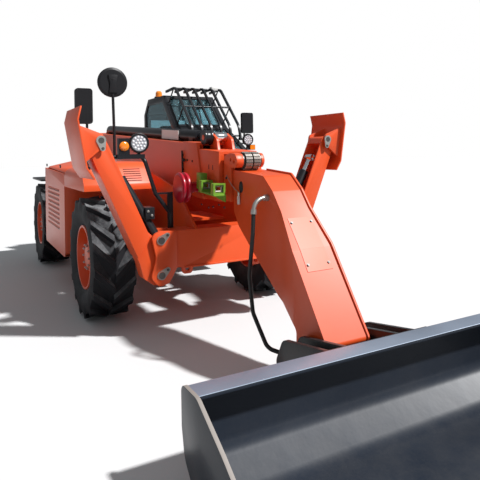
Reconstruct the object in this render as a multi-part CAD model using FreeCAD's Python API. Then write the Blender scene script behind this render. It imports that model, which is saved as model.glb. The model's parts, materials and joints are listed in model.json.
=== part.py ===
import FreeCAD, Part
import math
import os

from FreeCAD import Vector

# Telehandler with a four-section boom, a goose-necked head, a bucket and front stabilizers.
# +X is forward, +Y the machine's left, +Z up, in millimetres.
# Stations along X are counted from the front axle; save() moves them so that the
# origin lies under the middle of the machine's length.
os.makedirs("parts", exist_ok=True)

# Wheels and axles
tyre_r = 590.0
tyre_w = 400.0
lug_h = 42.0
lug_count = 15
lug_foot = 4.4
lug_crest = 3.0
lug_lean = 19.0
sidewall = 282.0
rim_r = tyre_r - sidewall
tyre_seat = 0.2
rim_wall = 20.0
rim_w = 340.0
hub_r = 140.0
wheel_y = 905.0
kingpin_y = 690.0
kingpin_r = 40.0
wheelbase = 3000.0
rear_axle_x = -wheelbase
axle_r = 85.0
diff_r = 165.0
nose_reach = 260.0
axle_room = tyre_r + 130.0

# Mudguards: their underside over the tyres
fender_low = 2 * tyre_r + 60.0

# Frame side plates and tail
plate_in = 285.0
plate_t = 25.0
plate_out = plate_in + plate_t
frame_tail = 850.0
frame_rear = rear_axle_x - frame_tail
frame_low = tyre_r - 110.0
tail_low = 600.0
tail_high = 1080.0
sheet = 25.0

# Tow hitch, behind the frame, and tie-down eyes under the crossbeam
hitch_reach = 250.0
rear_reach = hitch_reach - frame_rear
hitch_pin_back = 30.0
hitch_half = 60.0
hitch_low = 470.0
hitch_high = 600.0
hitch_wall = 30.0
hitch_bore_r = 16.0
weight_depth = 190.0
weight_half = 780.0
eye_x = 880.0
eye_y = 350.0
eye_drop = 40.0
eye_bore_r = 20.0
eye_t = 20.0

# Tool pin, bucket and overall reach
tool_x = 2400.0
tool_ahead = 530.0
bucket_back = tool_x + tool_ahead
bucket_depth = 950.0
bucket_reach = bucket_back + bucket_depth
front_axle_x = (rear_reach - bucket_reach) / 2

# Boom: pivot, slope at rest and the four sections
pivot_back = 350.0
pivot_x = rear_axle_x - pivot_back
pivot_z = 1700.0
neck_root = -1022.0
boom_reach = tool_x + neck_root - pivot_x
boom_drop = 297.46
boom_slope = math.degrees(math.atan(boom_drop / boom_reach))
pivot_r = 45.0
pivot_tube_r = 85.0
boom_wall = 10.0
pad_gap = 0.3
pad_long = 170.0
pad_back = 10.0
# half width, low edge, high edge, rear end
# collar, along the boom from the neck's root: start, lean of its start, end, lean of its end;
# then its half width, low edge and high edge
sections = [
    (170.0, -234.0, 226.0, -270.0, -928.0, 0.0, -528.0, 80.0, 196.0, -262.0, 240.0),
    (145.0, -209.0, 170.0, 350.0, -506.0, 80.0, -153.0, 0.0, 185.0, -246.0, 184.0),
    (120.0, -184.0, 118.0, 650.0, -135.0, 0.0, 0.0, 0.0, 146.0, -228.0, 140.0),
    (95.0, -159.0, 40.0, 950.0, 72.0, 0.0, 72.0, 0.0, 0.0, 0.0, 0.0),
]

# Extension cylinder on top of the boom
extend_v = 290.0
extend_eye_u = boom_reach - 563.0
extend_barrel_r = 62.0
extend_rod_r = 35.0
extend_barrel_end = boom_reach - 948.0
extend_pin_r = 25.0

# Leaf chains and their drum on the third section
drum_u = boom_reach + 79.0
drum_v = 118.0
drum_r = 60.0
drum_right = -104.0
drum_left = 66.0
chain_t = 10.0
chain_w = 61.0
chain_ys = (-87.0, -14.0)
chain_rear = boom_reach - 1328.0

# Hose reel beside the first collar and hose guide beside the second
reel_u = boom_reach - 533.0
reel_v = -160.0
reel_r = 137.0
reel_in = 318.0
guide_u = boom_reach - 428.0
guide_y = 222.0

# Goose neck
neck_half = 130.0
neck_foot_half = 170.0
neck_wall = 14.0
neck_lip = 15.0
tool_z = 220.0
tool_r = 45.0
crank_r = 200.0
crank_angle = 45.0
tilt_base_x = tool_x - 350.0
tilt_base_z = 980.0
tilt_pull_in = 135.0

# Free hose beside the neck, from an elbow on its side to a plate in its foot, along X from the tool pin
hose_r = 15.0
hose_bend = 95.0
hose_route = [
    (-475, -146, 1250), (-475, -250, 1248), (-445, -282, 1000), (-475, -300, 700), (-440, -295, 440),
    (-295, -265, 225), (-175, -150, 185), (-138, -60, 300), (-138, -60, 469),
]

# Lift cylinder
lift_base_x = rear_axle_x - 100.0
lift_seat_low = axle_room + 65.0
lift_base_z = lift_seat_low + 165.0
lift_eye_x = lift_base_x + 1600.0
lift_eye_z = 1290.0
lift_r = 75.0

# Crossbeam and stabilizers
beam_low = 600.0
beam_high = 920.0
beam_half = 500.0
arm_pin_y = 630.0
arm_pin_z = 555.0
ram_pin_z = 850.0
foot_pin_y = 1130.0
foot_pin_z = 1700.0
arm_in = 45.0
arm_out = 118.0
arm_x0 = 762.0
arm_x1 = 993.0
arm_wall = 14.0
arm_mid_x = (arm_x0 + arm_x1) / 2
root_x0 = 800.0
root_x1 = 955.0
lug_x0 = 765.0
lug_x1 = 995.0
lug_t = 25.0
ram_eye_s = 1040.0
ram_eye_w = 29.0
ram_r = 45.0
arm_pin_r = 30.0
foot_pin_r = 25.0
sole_angle = 9.5
sole_drop = 165.0
sole_half = 295.0
sole_t = 14.0
sole_x0 = 520.0
sole_x1 = 1075.0

# Bucket
bucket_half = 1225.0
bucket_top = 500.0
bucket_plate = 14.0
bucket_lip = 130.0
bucket_end_t = 20.0
ground_gap = 3.0
tool_plate_t = 60.0

# Cab
cab_in = 420.0
cab_out = 1185.0
cab_wall = 30.0
cab_post = 55.0
cab_rear = rear_axle_x + 380.0
cab_low_rear = rear_axle_x + 800.0
cab_sill = 2 * tyre_r + 70.0
door_gap = 6.0
glass_t = 6.0
glass_back = 20.0
door_rear = cab_rear + 180.0
hinge_x = door_rear - 3.0
hinge_y = cab_out + 18.0
hinge_h = 80.0
hinge_zs = (cab_sill + 150.0, 2100.0)
hinge_pin_r = 7.0
cab_base = 750.0
seat_x = cab_rear + 500.0
guard_w = 24.0
guard_count = 6

# Engine pod
pod_in = 430.0
pod_out = 1105.0
pod_front = -800.0
pod_rear = rear_axle_x + 800.0
pod_low = 450.0
pod_wall = 8.0
pod_mid = (pod_front + pod_rear) / 2
lid_hinge_xs = (pod_rear + 200.0, pod_front - 500.0)
lid_hinge_y = 424.0
lid_hinge_z = fender_low + 234.0
fender_front = 235.0


def box(x0, x1, y0, y1, z0, z1):
    return Part.makeBox(x1 - x0, y1 - y0, z1 - z0, Vector(x0, y0, z0))


def bar(start, end, radius):
    return Part.makeCylinder(radius, (end - start).Length, start, end - start)


def cross_bar(x, z, y0, y1, radius):
    return bar(Vector(x, y0, z), Vector(x, y1, z), radius)


def fuse(shapes):
    joined = shapes[0].multiFuse(shapes[1:])
    return joined.removeSplitter()


def mirror_y(shape):
    return shape.mirror(Vector(0, 0, 0), Vector(0, 1, 0))


def both_sides(shape):
    return [shape, mirror_y(shape)]


def corner(points, i):
    # the tangent points and the middle of the round at one corner of an outline
    here = Vector(points[i][0], points[i][1], 0)
    if len(points[i]) < 3:
        return here, here, None
    radius = points[i][2]
    after_i = (i + 1) % len(points)
    to_last = (Vector(points[i - 1][0], points[i - 1][1], 0) - here).normalize()
    to_next = (Vector(points[after_i][0], points[after_i][1], 0) - here).normalize()
    half = to_last.getAngle(to_next) / 2
    inward = (to_last + to_next).normalize()
    centre = here + inward * (radius / math.sin(half))
    reach = radius / math.tan(half)
    return here + to_last * reach, here + to_next * reach, centre - inward * radius


def outline(points, place):
    # a face from points (a, b) or (a, b, radius); place turns the flat point into space
    corners = [corner(points, i) for i in range(len(points))]
    edges = []
    for i, (start, end, middle) in enumerate(corners):
        if middle is not None:
            edges.append(Part.Arc(place(start), place(middle), place(end)).toShape())
        following = corners[(i + 1) % len(corners)][0]
        if (following - end).Length > 0.001:
            edges.append(Part.LineSegment(place(end), place(following)).toShape())
    return Part.Face(Part.Wire(edges))


def side_prism(points, y0, y1):
    face = outline(points, lambda p: Vector(p.x, y0, p.y))
    return face.extrude(Vector(0, y1 - y0, 0))


def top_prism(points, z0, z1):
    face = outline(points, lambda p: Vector(p.x, p.y, z0))
    return face.extrude(Vector(0, 0, z1 - z0))


def front_prism(points, x0, x1):
    face = outline(points, lambda p: Vector(x0, p.x, p.y))
    return face.extrude(Vector(x1 - x0, 0, 0))


def pipe(points, radius, bend):
    # a round tube along straight runs joined by tangent arcs
    edges = []
    last = points[0]
    for i in range(1, len(points) - 1):
        here = points[i]
        to_last = (points[i - 1] - here).normalize()
        to_next = (points[i + 1] - here).normalize()
        half = to_last.getAngle(to_next) / 2
        reach = bend / math.tan(half)
        inward = (to_last + to_next).normalize()
        centre = here + inward * (bend / math.sin(half))
        start = here + to_last * reach
        end = here + to_next * reach
        edges.append(Part.LineSegment(last, start).toShape())
        edges.append(Part.Arc(start, centre - inward * bend, end).toShape())
        last = end
    edges.append(Part.LineSegment(last, points[-1]).toShape())
    path = Part.Wire(edges)
    ring = Part.Wire([Part.makeCircle(radius, points[0], points[1] - points[0])])
    return path.makePipeShell([ring], True, False)


def on_boom(shape):
    # from the boom's own frame (pivot at the origin, boom level) to its place
    placed = shape.copy()
    placed.rotate(Vector(0, 0, 0), Vector(0, 1, 0), boom_slope)
    placed.translate(Vector(pivot_x, 0, pivot_z))
    return placed


def save(name, shape):
    moved = shape.copy()
    moved.translate(Vector(front_axle_x, 0, 0))
    moved.exportStep("parts/" + name + ".step")


# Tyre: two faceted halves, staggered by half a pitch, whose slanted lugs are part of the tread

def tread_ring(low, high, y, lean):
    # one turn of points: the feet and crests of every lug
    pitch = 360.0 / lug_count
    points = []
    for i in range(lug_count):
        for swing, radius in ((-lug_foot, low), (-lug_crest, high), (lug_crest, high), (lug_foot, low)):
            angle = math.radians(i * pitch + lean + swing)
            points.append(Vector(radius * math.cos(angle), y, radius * math.sin(angle)))
    return points


def skin(near, far):
    faces = []
    for i in range(len(near)):
        j = (i + 1) % len(near)
        for a, b, c in ((near[i], near[j], far[j]), (near[i], far[j], far[i])):
            faces.append(Part.Face(Part.makePolygon([a, b, c, a])))
    return faces


def half_tyre():
    tread_r = tyre_r - lug_h
    half = tyre_w / 2
    widest = math.radians(360.0 / lug_count - 2 * lug_foot)
    seat_r = (rim_r + tyre_seat) / math.cos(widest / 2)
    # foot radius, crest radius, distance from the middle plane, lean in degrees
    table = [
        (tread_r, tyre_r, 0, 0),
        (tread_r - 10, tyre_r - 12, half - 10, lug_lean),
        (rim_r + 130, rim_r + 130, half, lug_lean),
        (seat_r, seat_r, half - 42, lug_lean),
        (seat_r, seat_r, 0, lug_lean),
    ]
    rings = [tread_ring(low, high, y, lean) for low, high, y, lean in table]
    faces = []
    for near, far in zip(rings, rings[1:]):
        faces += skin(near, far)
    middle = [Part.Face(Part.makePolygon(ring + [ring[0]])) for ring in (rings[0], rings[-1])]
    faces += middle[0].cut(middle[1]).Faces
    solid = Part.Solid(Part.makeShell(faces))
    if solid.Volume < 0:
        solid.reverse()
    return solid


def tyre():
    left = half_tyre()
    right = mirror_y(half_tyre())
    right.rotate(Vector(0, 0, 0), Vector(0, 1, 0), 180.0 / lug_count)
    return left.fuse(right).removeSplitter()


def rim():
    half = rim_w / 2
    # radius, distance outward from the wheel's middle plane
    profile = [
        (0, -30), (hub_r, -30), (rim_r - rim_wall, 10), (rim_r - rim_wall, -half), (rim_r, -half),
        (rim_r, half), (rim_r - rim_wall, half), (rim_r - rim_wall, 50), (hub_r + 20, 30),
        (hub_r, 120), (hub_r - 50, 140), (0, 140),
    ]
    face = outline(profile, lambda p: Vector(p.x, p.y, 0))
    return face.revolve(Vector(0, 0, 0), Vector(0, 1, 0), 360)


def knuckle():
    # built at the left front: the kingpin bosses, the hub carrier and the steering arm
    upper = bar(Vector(0, kingpin_y, tyre_r + 100), Vector(0, kingpin_y, tyre_r + 150), kingpin_r + 25)
    lower = bar(Vector(0, kingpin_y, tyre_r - 150), Vector(0, kingpin_y, tyre_r - 100), kingpin_r + 25)
    web = box(-60, 60, kingpin_y + 45, kingpin_y + 80, tyre_r - 150, tyre_r + 150)
    spindle = bar(Vector(0, kingpin_y + 80, tyre_r), Vector(0, wheel_y - 30.3, tyre_r), 110)
    arm_reach = rim_r - rim_wall - 58
    arm = box(-arm_reach, -50, kingpin_y + 20, kingpin_y + 60, tyre_r - 20, tyre_r + 10)
    return fuse([upper, lower, web, spindle, arm])


def turned(profile, start, axis):
    # a solid of revolution from (distance along the axis, radius)
    outward = Vector(1, 0, 0) if axis.z else Vector(0, 0, 1)
    points = [(profile[0][0], 0)] + profile + [(profile[-1][0], 0)]
    face = outline(points, lambda p: start + axis * p.x + outward * p.y)
    return face.revolve(start, axis, 360)


def axle():
    # the beam with its swollen middle, the forks that hold the kingpins and the saddles
    beam_end = kingpin_y - 90
    # distance from the left end, radius
    profile = [
        (0, axle_r), (beam_end - 330, axle_r), (beam_end - 190, diff_r), (beam_end + 190, diff_r),
        (beam_end + 330, axle_r), (2 * beam_end, axle_r),
    ]
    beam = turned(profile, Vector(0, beam_end, tyre_r), Vector(0, -1, 0))
    nose = bar(Vector(0, 0, tyre_r), Vector(-nose_reach, 0, tyre_r), 80)
    pieces = [beam, nose]
    for side in (1, -1):
        for low, high in ((-95, -60), (60, 95)):
            y0, y1 = sorted((side * (kingpin_y - 150), side * (kingpin_y + 10)))
            pieces.append(box(-55, 55, y0, y1, tyre_r + low, tyre_r + high))
        pieces.append(bar(Vector(0, side * kingpin_y, tyre_r - 99.7),
                          Vector(0, side * kingpin_y, tyre_r + 99.7), kingpin_r))
        y0, y1 = sorted((side * (plate_in - 60), side * plate_out))
        pieces.append(box(-110, 110, y0, y1, tyre_r, axle_room))
    pieces.append(bar(Vector(-190, -420, tyre_r), Vector(-190, 420, tyre_r), 35))
    pieces.append(box(-200, -60, -60, 60, tyre_r - 30, tyre_r + 30))
    return fuse(pieces)


def side_plate():
    rx = rear_axle_x
    points = [
        (lug_x0, beam_low), (360, beam_low, 60), (230, axle_room, 60), (-230, axle_room, 60),
        (-360, frame_low, 60),
        (rx + 360, frame_low, 60), (rx + 230, axle_room, 60), (rx - 230, axle_room, 60),
        (rx - 360, tail_low, 60),
        (frame_rear, tail_low), (frame_rear, tail_high, 60), (pivot_x - 290, tail_high + 160, 80),
        (pivot_x - 160, pivot_z + 150, 110), (pivot_x + 160, pivot_z + 150, 110),
        (pivot_x + 320, 1300, 120), (pivot_x + 850, tail_high, 150), (-1100, tail_high, 200),
        (-640, fender_low + 90, 150), (-180, fender_low + 145, 100), (480, fender_low + 15, 160),
        (700, fender_low - 100, 60), (lug_x1 - 15, beam_high + 0.1), (lug_x1 - 15, beam_high),
        (lug_x0, beam_high),
    ]
    plate = side_prism(points, plate_in, plate_out)
    bore = cross_bar(pivot_x, pivot_z, plate_in, plate_out, pivot_r)
    window = side_prism([(rx + 700, 620, 60), (-1250, 620, 60), (-1250, 940, 60), (rx + 700, 940, 60)],
                        plate_in, plate_out)
    return plate.cut(bore).cut(window)


def main_frame():
    pieces = both_sides(side_plate())
    pieces.append(box(rear_axle_x + 440, -420, -plate_in, plate_in, frame_low, frame_low + 20))
    pieces.append(box(frame_rear, frame_rear + sheet, -plate_in, plate_in, tail_low, tail_high))
    pieces.append(box(frame_rear, pivot_x + 50, -plate_in, plate_in, lift_seat_low - sheet, lift_seat_low))
    pieces.append(box(-230, 360, -plate_in, plate_in, 900, 900 + sheet))
    pieces.append(box(-700, -700 + sheet, -plate_in, plate_in, tyre_r + 70, 1000))
    # the pads that carry the cab
    for x in (cab_low_rear + 200, -1100):
        pieces.append(box(x, x + 120, plate_out, cab_in, 780, 1000))
    # the seat of the lift cylinder and the boom pin
    bx = lift_base_x
    seat_low = lift_seat_low
    for y in (82, -112):
        points = [(bx - 150, seat_low), (bx + 80, seat_low), (bx + 80, lift_base_z, 75),
                  (bx - 80, lift_base_z + 70, 70)]
        pieces.append(side_prism(points, y, y + 30))
    pieces.append(cross_bar(bx, lift_base_z, -112, 112, arm_pin_r))
    pieces.append(box(pivot_x + 50, bx + 150, -plate_in, plate_in, seat_low - 20, seat_low))
    for side in (1, -1):
        y0, y1 = sorted((side * 205, side * plate_in))
        pieces.append(cross_bar(pivot_x, pivot_z, y0, y1, pivot_tube_r + 5))
    pieces.append(cross_bar(pivot_x, pivot_z, -plate_out, plate_out, pivot_r))
    return fuse(pieces)


def crossbeam():
    # a folded beam between the lug plates, a lip under its front and the tie-down eyes
    fold = lug_x1 - 5
    beam = top_prism([
        (lug_x0, -beam_half), (fold - 12, -beam_half), (fold, -beam_half + 60), (fold, beam_half - 60),
        (fold - 12, beam_half), (lug_x0, beam_half),
    ], beam_low, beam_high)
    pieces = [beam, box(fold - 40, fold + 12, -beam_half + 90, beam_half - 90, beam_low - 8, beam_low + 6)]
    for side in (1, -1):
        for x0 in (lug_x0, lug_x1 - lug_t):
            points = [
                (side * 490, beam_low), (side * 490, beam_high), (side * 640, 930, 60), (side * 715, 895, 50),
                (side * 672, 700, 160), (side * 722, 540, 70), (side * 650, 455, 50), (side * 560, 480, 40),
            ]
            pieces.append(front_prism(points, x0, x0 + lug_t))
        for z in (arm_pin_z, ram_pin_z):
            pin = bar(Vector(lug_x0 - 8, side * arm_pin_y, z), Vector(lug_x1 + 12, side * arm_pin_y, z),
                      arm_pin_r)
            pieces.append(pin)
        middle = side * eye_y
        eye_z = beam_low - eye_drop
        tie_down = front_prism([(middle - 60, beam_low), (middle - 45, eye_z - 45, 30),
                                (middle + 45, eye_z - 45, 30),
                                (middle + 60, beam_low)], eye_x - eye_t / 2, eye_x + eye_t / 2)
        hole = bar(Vector(eye_x - eye_t, middle, eye_z), Vector(eye_x + eye_t, middle, eye_z), eye_bore_r)
        pieces.append(tie_down.cut(hole))
    return fuse(pieces)


def counterweight():
    rear = frame_rear - weight_depth
    points = [(rear, tail_low + 40, 60), (frame_rear, tail_low - 40), (frame_rear, tail_high),
              (frame_rear - 110, tail_high + 100, 60), (rear + 20, tail_high + 20, 60)]
    block = side_prism(points, -weight_half, weight_half)
    hitch = box(-rear_reach, frame_rear - 10, -hitch_half, hitch_half, hitch_low, hitch_high)
    jaw = box(-rear_reach - 1, frame_rear - hitch_reach / 2, -hitch_half - 1, hitch_half + 1,
              hitch_low + hitch_wall, hitch_high - hitch_wall)
    pin_hole = Part.makeCylinder(hitch_bore_r, 2 * hitch_high, Vector(hitch_pin_back - rear_reach, 0, 0))
    return block.fuse(hitch.cut(jaw).cut(pin_hole)).removeSplitter()


def engine_block():
    block = box(pod_mid - 350, pod_mid + 350, -1000, -560, 620, fender_low - 60)
    feet = []
    for x in (pod_mid - 280, pod_mid + 280):
        for y in (-940, -620):
            feet.append(Part.makeCylinder(35, 620 - pod_low - pod_wall, Vector(x, y, pod_low + pod_wall)))
    return fuse([block] + feet)


def drive_shaft():
    gearbox = box(-1900, -1450, -180, 180, tyre_r - 70, tyre_r + 210)
    front = bar(Vector(-1450, 0, tyre_r), Vector(-nose_reach, 0, tyre_r), 40)
    rear = bar(Vector(rear_axle_x + nose_reach, 0, tyre_r), Vector(-1900, 0, tyre_r), 40)
    return fuse([gearbox, front, rear])


def boom_tube(row):
    half, low, high, rear, start, start_lean, end, end_lean, collar_half, collar_low, collar_high = row
    start, end = boom_reach + start, boom_reach + end
    shapes = [side_prism([(rear, low), (end + end_lean, low), (end - end_lean, high), (rear, high)],
                         -half, half)]
    if collar_half:
        collar = [(start + start_lean, collar_low), (end + end_lean, collar_low),
                  (end - end_lean, collar_high), (start - start_lean, collar_high)]
        shapes.append(side_prism(collar, -collar_half, collar_half))
    hollow = box(rear - 1, end + end_lean + 1, -half + boom_wall, half - boom_wall,
                 low + boom_wall, high - boom_wall)
    solid = shapes[0] if len(shapes) == 1 else fuse(shapes)
    return solid.cut(hollow)


def wear_pads(row, inner):
    # the blocks in a collar that the next section runs on, with room for the chains on top
    half, low, high = row[0] - boom_wall, row[1] + boom_wall, row[2] - boom_wall
    front = boom_reach + row[6] - row[7]
    inner_half, inner_low, inner_high = inner[0], inner[1], inner[2]
    x0, x1 = front - pad_back - pad_long, front - pad_back
    pads = [
        box(x0, x1, -inner_half + 20, inner_half - 20, low, inner_low - pad_gap),
        box(x0, x1, inner_half - 55, inner_half - 10, inner_high + pad_gap, high),
        box(x0, x1, -inner_half + 3, -inner_half + 23, inner_high + pad_gap, high),
    ]
    for side in (1, -1):
        y0, y1 = sorted((side * (inner_half + pad_gap), side * half))
        pads.append(box(x0, x1, y0, y1, inner_low + 40, inner_high - 40))
    return pads


def boom_outer():
    row = sections[0]
    low, high = row[1], row[2]
    shell = fuse([boom_tube(row)] + wear_pads(row, sections[1]))
    pieces = [shell, cross_bar(0, 0, -204.7, 204.7, pivot_tube_r)]
    # the ears of the lift cylinder, at its eye
    placed_eye = Vector(lift_eye_x - pivot_x, 0, lift_eye_z - pivot_z)
    turn = math.radians(boom_slope)
    u = placed_eye.x * math.cos(turn) - placed_eye.z * math.sin(turn)
    v = placed_eye.x * math.sin(turn) + placed_eye.z * math.cos(turn)
    ear = [(u - 190, low + 1), (u - 130, v - 40, 40), (u, v - 105, 70), (u + 90, v - 40, 40),
           (u + 200, low + 1)]
    for y in (52, -77):
        pieces.append(side_prism(ear, y, y + 25).cut(cross_bar(u, v, y, y + 25, arm_pin_r)))
    pieces.append(box(250, 305, -60, 60, high, extend_v - 40))
    return on_boom(fuse(pieces).cut(cross_bar(0, 0, -210, 210, pivot_r + 0.3)))


def boom_second():
    row = sections[1]
    high = row[2]
    pieces = [boom_tube(row)] + wear_pads(row, sections[2])
    u = extend_eye_u
    v = extend_v
    # curved fins that hold the extension cylinder's pin, with a hose pulley outside them
    fin = [(u - 22, high), (u - 42, v + 5, 20), (u - 8, v + 42, 18), (u + 110, v - 5, 60), (u + 150, high)]
    for y0, y1 in ((-65, -40), (85, 110)):
        pieces.append(side_prism(fin, y0, y1))
    pieces.append(cross_bar(u, v, -150, 120, extend_pin_r))
    pieces.append(cross_bar(u, v, -145, -75, 62))
    return on_boom(fuse(pieces))


def boom_third():
    row = sections[2]
    pieces = [boom_tube(row)] + wear_pads(row, sections[3])
    collar_half = row[8]
    start, end = boom_reach + row[4], boom_reach + row[6]
    cheek = [(end - 90, 90), (end - 90, 150), (drum_u - 60, drum_v + 62, 50), (drum_u + 30, drum_v + 62, 50),
             (drum_u + 75, drum_v, 50), (drum_u + 30, drum_v - 55, 40), (end, 62)]
    right = side_prism(cheek, -collar_half - 22, drum_right)
    left = side_prism(cheek, drum_left, drum_left + 26)
    foot = box(end - 90, end, drum_left, collar_half, row[2], row[10])
    # two round holes through the wide boss on the right
    holes = []
    for du, dv in ((-52, 6), (8, -4)):
        holes.append(cross_bar(drum_u + du, drum_v + dv, -collar_half - 23, -collar_half + 8, 15))
    pieces += [right.cut(holes[0]).cut(holes[1]), left, foot]
    pieces.append(cross_bar(drum_u, drum_v, drum_right, drum_left, extend_pin_r))
    for y in chain_ys:
        pieces[0] = pieces[0].cut(box(start - 1, end + 1, y - 6, y + chain_w + 6, row[2], drum_v + 80))
    inner_room = box(end - 100, end + 1, -sections[3][0] - 5, sections[3][0] + 5,
                     row[1] + boom_wall, row[2] - boom_wall)
    return on_boom(fuse(pieces).cut(inner_room))


def chain_drum():
    # the drum on its pin and the leaf chains that come over it along the third section
    drum = cross_bar(drum_u, drum_v, drum_right + 0.3, drum_left - 0.3, drum_r)
    top = drum_v + drum_r
    pieces = [drum]
    # the chain's links lie round the drum's front as flats
    turns = [math.radians(a) for a in range(-90, 91, 30)]
    round_front = [(drum_u + (drum_r + chain_t) * math.cos(a),
                    drum_v + (drum_r + chain_t) * math.sin(a)) for a in turns]
    for y in chain_ys:
        pieces.append(side_prism(round_front, y, y + chain_w))
        slope = [(chain_rear, sections[2][2] + 0.3), (drum_u - 180, sections[2][2] + 0.3), (drum_u, top - 1),
                 (drum_u, top + chain_t), (drum_u - 190, sections[2][2] + chain_t),
                 (chain_rear, sections[2][2] + chain_t)]
        pieces.append(side_prism(slope, y, y + chain_w))
    return on_boom(fuse(pieces).cut(cross_bar(drum_u, drum_v, drum_right, drum_left, extend_pin_r + 0.3)))


def neck_outline(inset):
    # the top, the long front face, the pin lug under the foot and the underside
    return [
        (neck_root, 1442 - inset), (-540 - inset * 0.2, 1408 - inset, 60),
        (-410 - inset * 0.7, 1300 - inset * 0.7, 60),
        (-110 - inset, 920 - inset * 0.6, 500), (268 - inset, 356, 30), (105, 338, 40),
        (85, tool_z - 80, 80), (-85, tool_z - 80, 80), (-78, 405, 60),
        (-355, 553), (-730, 825, 300), (-944, 990, 80), (neck_root, 1100),
    ]


def neck_plan(inset, x0):
    # half the neck's width at its root and at its foot, with the flare between
    half, foot = neck_half - inset, neck_foot_half - inset
    flare_start, flare_end, front = -300, -110, 400
    return top_prism([
        (x0, -half), (flare_start, -half), (flare_end, -foot), (front, -foot),
        (front, foot), (flare_end, foot), (flare_start, half), (x0, half),
    ], -10, 1600)


def goose_neck():
    # built with the tool pin at X zero
    body = side_prism(neck_outline(0), -neck_foot_half, neck_foot_half).common(neck_plan(0, neck_root - 50))
    cavity = side_prism([
        (-700, 1375), (-550, 1385), (-428, 1282), (-125, 900), (248, 352), (252, 0), (-300, 0),
        (-500, 500), (-900, 900), (-700, 1100),
    ], -neck_foot_half, neck_foot_half)
    body = body.cut(cavity.common(neck_plan(neck_wall, neck_root)))
    # the left side plate stands a little ahead of the front face
    edge = side_prism(neck_outline(-neck_lip), 0, neck_foot_half).common(neck_plan(0, -900))
    edge = edge.cut(neck_plan(neck_wall, -1000)).cut(box(-1100, 400, -10, 200, 0, 345))
    # the cross plate that takes the hose's end and the elbow at its start
    last = hose_route[-1]
    shelf = box(last[0] - 25, last[0] + 30, -neck_foot_half, neck_foot_half, last[2] + 0.3, last[2] + 12)
    shelf = shelf.common(neck_plan(neck_wall - 1, -1000))
    start = hose_route[0]
    elbow = cross_bar(start[0], start[2], start[1] + 0.3, -neck_half, hose_r + 4)
    body = fuse([body, edge, shelf, elbow]).cut(cross_bar(0, tool_z, -200, 200, tool_r + 0.3))
    body.translate(Vector(tool_x, 0, 0))
    return body


def neck_hose():
    return pipe([Vector(tool_x + x, y, z) for x, y, z in hose_route], hose_r, hose_bend)


def boom_inner():
    row = sections[3]
    half, low, high = row[0], row[1], row[2]
    tube = on_boom(boom_tube(row))
    end = boom_reach + row[6]
    root = on_boom(box(end - 2, end + 40, -half, half, low, high))
    seat = []
    inside = neck_half - neck_wall
    for y0, y1 in ((-inside, -60), (60, inside)):
        seat.append(cross_bar(tilt_base_x, tilt_base_z, y0, y1, 45))
    seat.append(cross_bar(tilt_base_x, tilt_base_z, -inside, inside, 25))
    return fuse([tube, root, goose_neck()] + seat)


def reach(start, angle, length):
    return Vector(start.x + length * math.cos(math.radians(angle)), start.y,
                  start.z + length * math.sin(math.radians(angle)))


def cylinder_barrel(base, eye, half_width, radius, bore, barrel_length, eye_r):
    # the closed end with its eye, the tube and the gland, hollow for the rod
    along = (eye - base).normalize()
    across = Vector(0, 1, 0) if abs(along.y) < 0.01 else Vector(1, 0, 0)
    ring = bar(base - across * half_width, base + across * half_width, eye_r)
    tube = bar(base + along * 20, base + along * barrel_length, radius)
    body = ring.fuse(tube)
    body = body.cut(bar(base - across * (half_width + 1), base + across * (half_width + 1), bore))
    return body


def cylinder_rod(base, eye, half_width, radius, eye_r, pin_r, start):
    along = (eye - base).normalize()
    across = Vector(0, 1, 0) if abs(along.y) < 0.01 else Vector(1, 0, 0)
    ring = bar(eye - across * half_width, eye + across * half_width, eye_r)
    shaft = bar(base + along * start, eye, radius)
    body = ring.fuse(shaft)
    return body.cut(bar(eye - across * (half_width + 1), eye + across * (half_width + 1), pin_r))


def hollow_for(barrel, base, eye, radius, start, end):
    along = (eye - base).normalize()
    return barrel.cut(bar(base + along * start, base + along * (end + 1), radius))


def ram_pair(base, eye, base_half, eye_half, radius, rod_r, barrel_length, pin_r, pull_in=0):
    barrel = cylinder_barrel(base, eye, base_half, radius, pin_r, barrel_length, radius * 0.95)
    barrel = hollow_for(barrel, base, eye, rod_r + 0.3, radius + 20, barrel_length)
    rod = cylinder_rod(base, eye, eye_half, rod_r, rod_r * 1.45, pin_r, radius + 22 + pull_in)
    return barrel, rod


def extension_barrel():
    v = extend_v
    high = sections[0][2]
    end = extend_barrel_end
    tube = bar(Vector(310, 0, v), Vector(end, 0, v), extend_barrel_r)
    seat = box(260, 420, -55, 55, v - 40, v)
    rest = box(end - 160, end - 60, -60, 60, high, v)
    body = fuse([tube, seat, rest])
    return on_boom(body.cut(bar(Vector(600, 0, v), Vector(end + 1, 0, v), extend_rod_r + 0.3)))


def extension_rod():
    u, v = extend_eye_u, extend_v
    rod = bar(Vector(640, 0, v), Vector(u - 35, 0, v), extend_rod_r)
    eye = cross_bar(u, v, -39.7, 84.7, 48).cut(cross_bar(u, v, -45, 90, extend_pin_r + 0.3))
    return on_boom(rod.fuse(eye))


def hose_reel():
    # a rounded drum of two dished discs on a bracket from the first collar's side
    u, v, r = reel_u, reel_v, reel_r
    # distance outward, radius
    profile = [(0, r - 14), (14, r), (34, r), (44, r - 30), (54, r - 30), (62, r), (78, r), (90, r - 22)]
    drum = turned(profile, Vector(u, -reel_in, v), Vector(0, -1, 0))
    collar_half = sections[0][8]
    arm = box(u - 45, u + 45, -reel_in - 1, -collar_half - 0.3, v - 40, v + 40)
    return on_boom(fuse([drum, arm]))


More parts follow.
